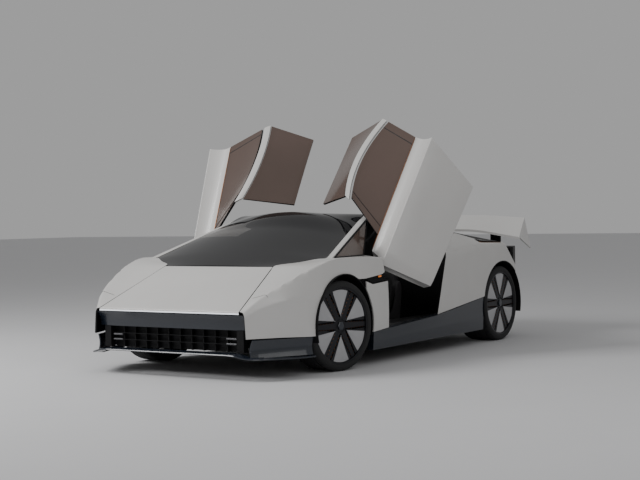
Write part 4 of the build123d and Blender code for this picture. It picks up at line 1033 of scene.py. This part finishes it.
class SUPERCAR_OT_wheels(bpy.types.Operator):
    """Build the tyres, rims, inserts, hubs and brake discs"""

    bl_idname = "supercar.wheels"
    bl_label = "Wheels"

    def execute(self, context):
        depth = context.scene.supercar_body.tread_depth
        for end, width in (("front", 0.245), ("rear", 0.305)):
            groups = (("tyre", [(tyre_part(width, depth), "tyre")], "tyre"),
                      ("rim", rim_parts(width), "rim"), ("petals", petal_parts(), "petal"),
                      ("hub", hub_parts(end == "rear"), "steel"))
            for hand in ("left", "right"):
                for name, parts, slot in groups:
                    placed = [(on_axle(part, end, hand), finish) for part, finish in parts]
                    make(f"{name}_detail_{end}_{hand}", placed, f"wheel_{end}_{hand}",
                         (f"{name}_{end}_{hand}",), sharp=32)
        return {"FINISHED"}


def seat_part(middle):
    """One seat: closed side-view loops across its width, blended from the cushion's loop to the
    bolsters' loop, drawn in at the sides as a quarter circle. The cushioned faces are then moved along
    their normals by a crown, 0.010 (1 - (x / 0.17) ** 2), less sewn channels
    0.005 exp(-(s / 0.006) ** 2) across them, s being the distance to the nearest channel; both fade at
    the sides by 1 - (|x| / 0.165) ** 8."""
    centre = np.array([(-330, 165), (-330, 285), (-120, 276), (60, 258), (140, 478), (212, 690),
                       (232, 776), (312, 776), (262, 470), (208, 165)]) / 1000
    wing = np.array([(-300, 165), (-290, 300), (-120, 324), (30, 330), (90, 380), (160, 590),
                     (236, 616), (266, 560), (240, 380), (208, 165)]) / 1000
    x = np.concatenate([np.linspace(-0.230, -0.214, 8), np.linspace(-0.205, 0.205, 75),
                        np.linspace(0.214, 0.230, 8)])
    blend = np.clip((np.abs(x) - 0.158) / 0.034, 0, 1)
    blend = (blend * blend * (3 - 2 * blend))[:, None, None]
    corners = centre * (1 - blend) + wing * blend
    corners = np.concatenate([corners, corners[:, :1]], axis=1)
    loops = rounded(corners, 0.045, 14, 10)[:, :-1]
    draw = np.clip((np.abs(x) - 0.205) / 0.0255, 0, 1)
    size = np.sqrt(1 - draw ** 2)[:, None, None] * 0.12 + 0.88
    heart = loops.mean(axis=1, keepdims=True)
    loops = heart + (loops - heart) * size
    grid = surface(x[:, None], loops[..., 0], loops[..., 1])
    run = travel(loops[len(x) // 2])
    front = (run > 0.14) & (run < 0.90)
    pitch = 0.062
    near = np.abs((run - 0.14 + pitch / 2) % pitch - pitch / 2)
    channel = 0.005 * np.exp(-(near / 0.006) ** 2) * front
    inside = np.clip(1 - (np.abs(x) / 0.165) ** 8, 0, 1)[:, None]
    crown = 0.010 * (1 - (x[:, None] / 0.17) ** 2).clip(0) * front
    grid -= normals(grid) * ((crown - channel) * inside)[..., None]  # the grid's normals point inwards
    return capped(grid + [middle, 0, 0])


class SUPERCAR_OT_cabin(bpy.types.Operator):
    """Build the seats, the dashboard and the steering wheel"""

    bl_idname = "supercar.cabin"
    bl_label = "Cabin"

    def execute(self, context):
        for hand, middle in (("left", 0.370), ("right", -0.370)):
            seat = make(f"seat_{hand}", [(seat_part(middle), "hide")],
                        stands_for=("seats",), sharp=60)
        # dashboard: its side-view outline with rounded edges, carried across the cabin
        outline = np.array([(-1294, 746), (-1294, 789), (-600, 789), (-561, 740), (-600, 561),
                            (-699, 561), (-850, 746), (-1294, 746)]) / 1000
        loop = rounded(outline, 0.030, 8, 8)[:-1]
        pad = capped(surface(np.linspace(-0.6790, 0.6790, 40)[:, None], loop[:, 0], loop[:, 1]))
        make("dashboard_pad", [(pad, "lining")], stands_for=("dashboard",), sharp=45)
        # steering wheel: round rim, cross bar and column in the wheel's leaning plane
        axis = unit([0, 1.0, 0.35])
        middle = np.array([0.370, -0.470, 0.720])
        plane = 0.012
        y, z = oval(0.1625, 0.1625, 72).T
        rim = aimed(tube(surface(plane, y, z), oval(0.0123, 0.0118, 14), closed=True), axis, middle)
        across = middle + axis * plane + [(-0.152, 0, 0), (0.152, 0, 0)]
        column = [middle - axis * 0.0893, middle + axis * 0.004]
        make("steering_wheel_rim", [(rim, "hide"), (tube(across, oblong(0.022, 0.038, 0.008)), "lining"),
                                    (tube(column, oval(0.030, 0.030, 28)), "black")],
             stands_for=("steering_wheel",))
        return {"FINISHED"}


class SUPERCAR_OT_stage(bpy.types.Operator):
    """Set up the floor, the lights and the camera"""

    bl_idname = "supercar.stage"
    bl_label = "Stage"

    def execute(self, context):
        settings = context.scene.supercar_stage
        yaw, dip, roll = settings.camera_yaw, settings.camera_dip, settings.camera_roll
        ahead = Vector((-math.sin(yaw) * math.cos(dip), math.cos(yaw) * math.cos(dip), -math.sin(dip)))
        level = Vector((math.cos(yaw), math.sin(yaw), 0.0))
        upright = level.cross(ahead)
        right = level * math.cos(roll) + upright * math.sin(roll)
        up = upright * math.cos(roll) - level * math.sin(roll)
        lens = bpy.data.cameras.new("camera")
        lens.sensor_width = SENSOR_WIDTH
        lens.lens = SENSOR_WIDTH * settings.focal_px / RENDER_WIDTH
        camera = linked("camera", lens)
        turn = Matrix((right, up, -ahead)).transposed()
        camera.matrix_world = Matrix.Translation(settings.camera_place) @ turn.to_4x4()
        context.scene.camera = camera
        size = 60.0
        mesh = bpy.data.meshes.new("floor")
        mesh.from_pydata([(-size, -size, 0), (size, -size, 0), (size, size, 0), (-size, size, 0)], [],
                         [(0, 1, 2, 3)])
        mesh.materials.append(mottled("floor", settings.floor, 1.5, 0.985, 0.85, 0.05))
        linked("floor", mesh)
        world = bpy.data.worlds.new("studio")
        world.use_nodes = True
        preset(world.node_tree.nodes["Background"], Color=(1, 1, 1, 1), Strength=0.38)
        context.scene.world = world
        for name, place, target, power, extent in (
                ("key", (-4.0, -6.0, 6.0), (0, 0, 0.4), 560.0, 4.0),
                ("fill", (6.0, -3.0, 4.0), (0, 0, 0.5), 60.0, 4.0)):
            light = bpy.data.lights.new(name, "AREA")
            light.energy = power
            light.size = extent
            aim = (Vector(target) - Vector(place)).to_track_quat("-Z", "Y")
            linked(name, light).matrix_world = Matrix.Translation(place) @ aim.to_matrix().to_4x4()
        return {"FINISHED"}


class SUPERCAR_PT_panel(bpy.types.Panel):
    """Lists the pieces of the car"""

    bl_label = "Supercar"
    bl_space_type = "VIEW_3D"
    bl_region_type = "UI"
    bl_category = "Supercar"

    def draw(self, context):
        for operator in OPERATORS:
            self.layout.operator(operator.bl_idname)


SETTINGS = (("supercar_finishes", FinishSettings), ("supercar_body", BodySettings),
            ("supercar_stage", StageSettings))
OPERATORS = (SUPERCAR_OT_finishes, SUPERCAR_OT_nose, SUPERCAR_OT_splitter, SUPERCAR_OT_fenders,
             SUPERCAR_OT_glasshouse, SUPERCAR_OT_doors, SUPERCAR_OT_flanks, SUPERCAR_OT_tail,
             SUPERCAR_OT_wheels, SUPERCAR_OT_cabin, SUPERCAR_OT_stage)


def register():
    """Make the settings, the operators and the panel known to Blender."""
    for name, group in SETTINGS:
        bpy.utils.register_class(group)
        setattr(bpy.types.Scene, name, bpy.props.PointerProperty(type=group))
    for operator in (*OPERATORS, SUPERCAR_PT_panel):
        bpy.utils.register_class(operator)


def unregister():
    """Take back what register made known."""
    for operator in (SUPERCAR_PT_panel, *reversed(OPERATORS)):
        bpy.utils.unregister_class(operator)
    for name, group in reversed(SETTINGS):
        delattr(bpy.types.Scene, name)
        bpy.utils.unregister_class(group)


def main():
    """Make everything, in order."""
    register()
    for operator in OPERATORS:
        group, call = operator.bl_idname.split(".")
        getattr(getattr(bpy.ops, group), call)()


if __name__ == "__main__":
    main()
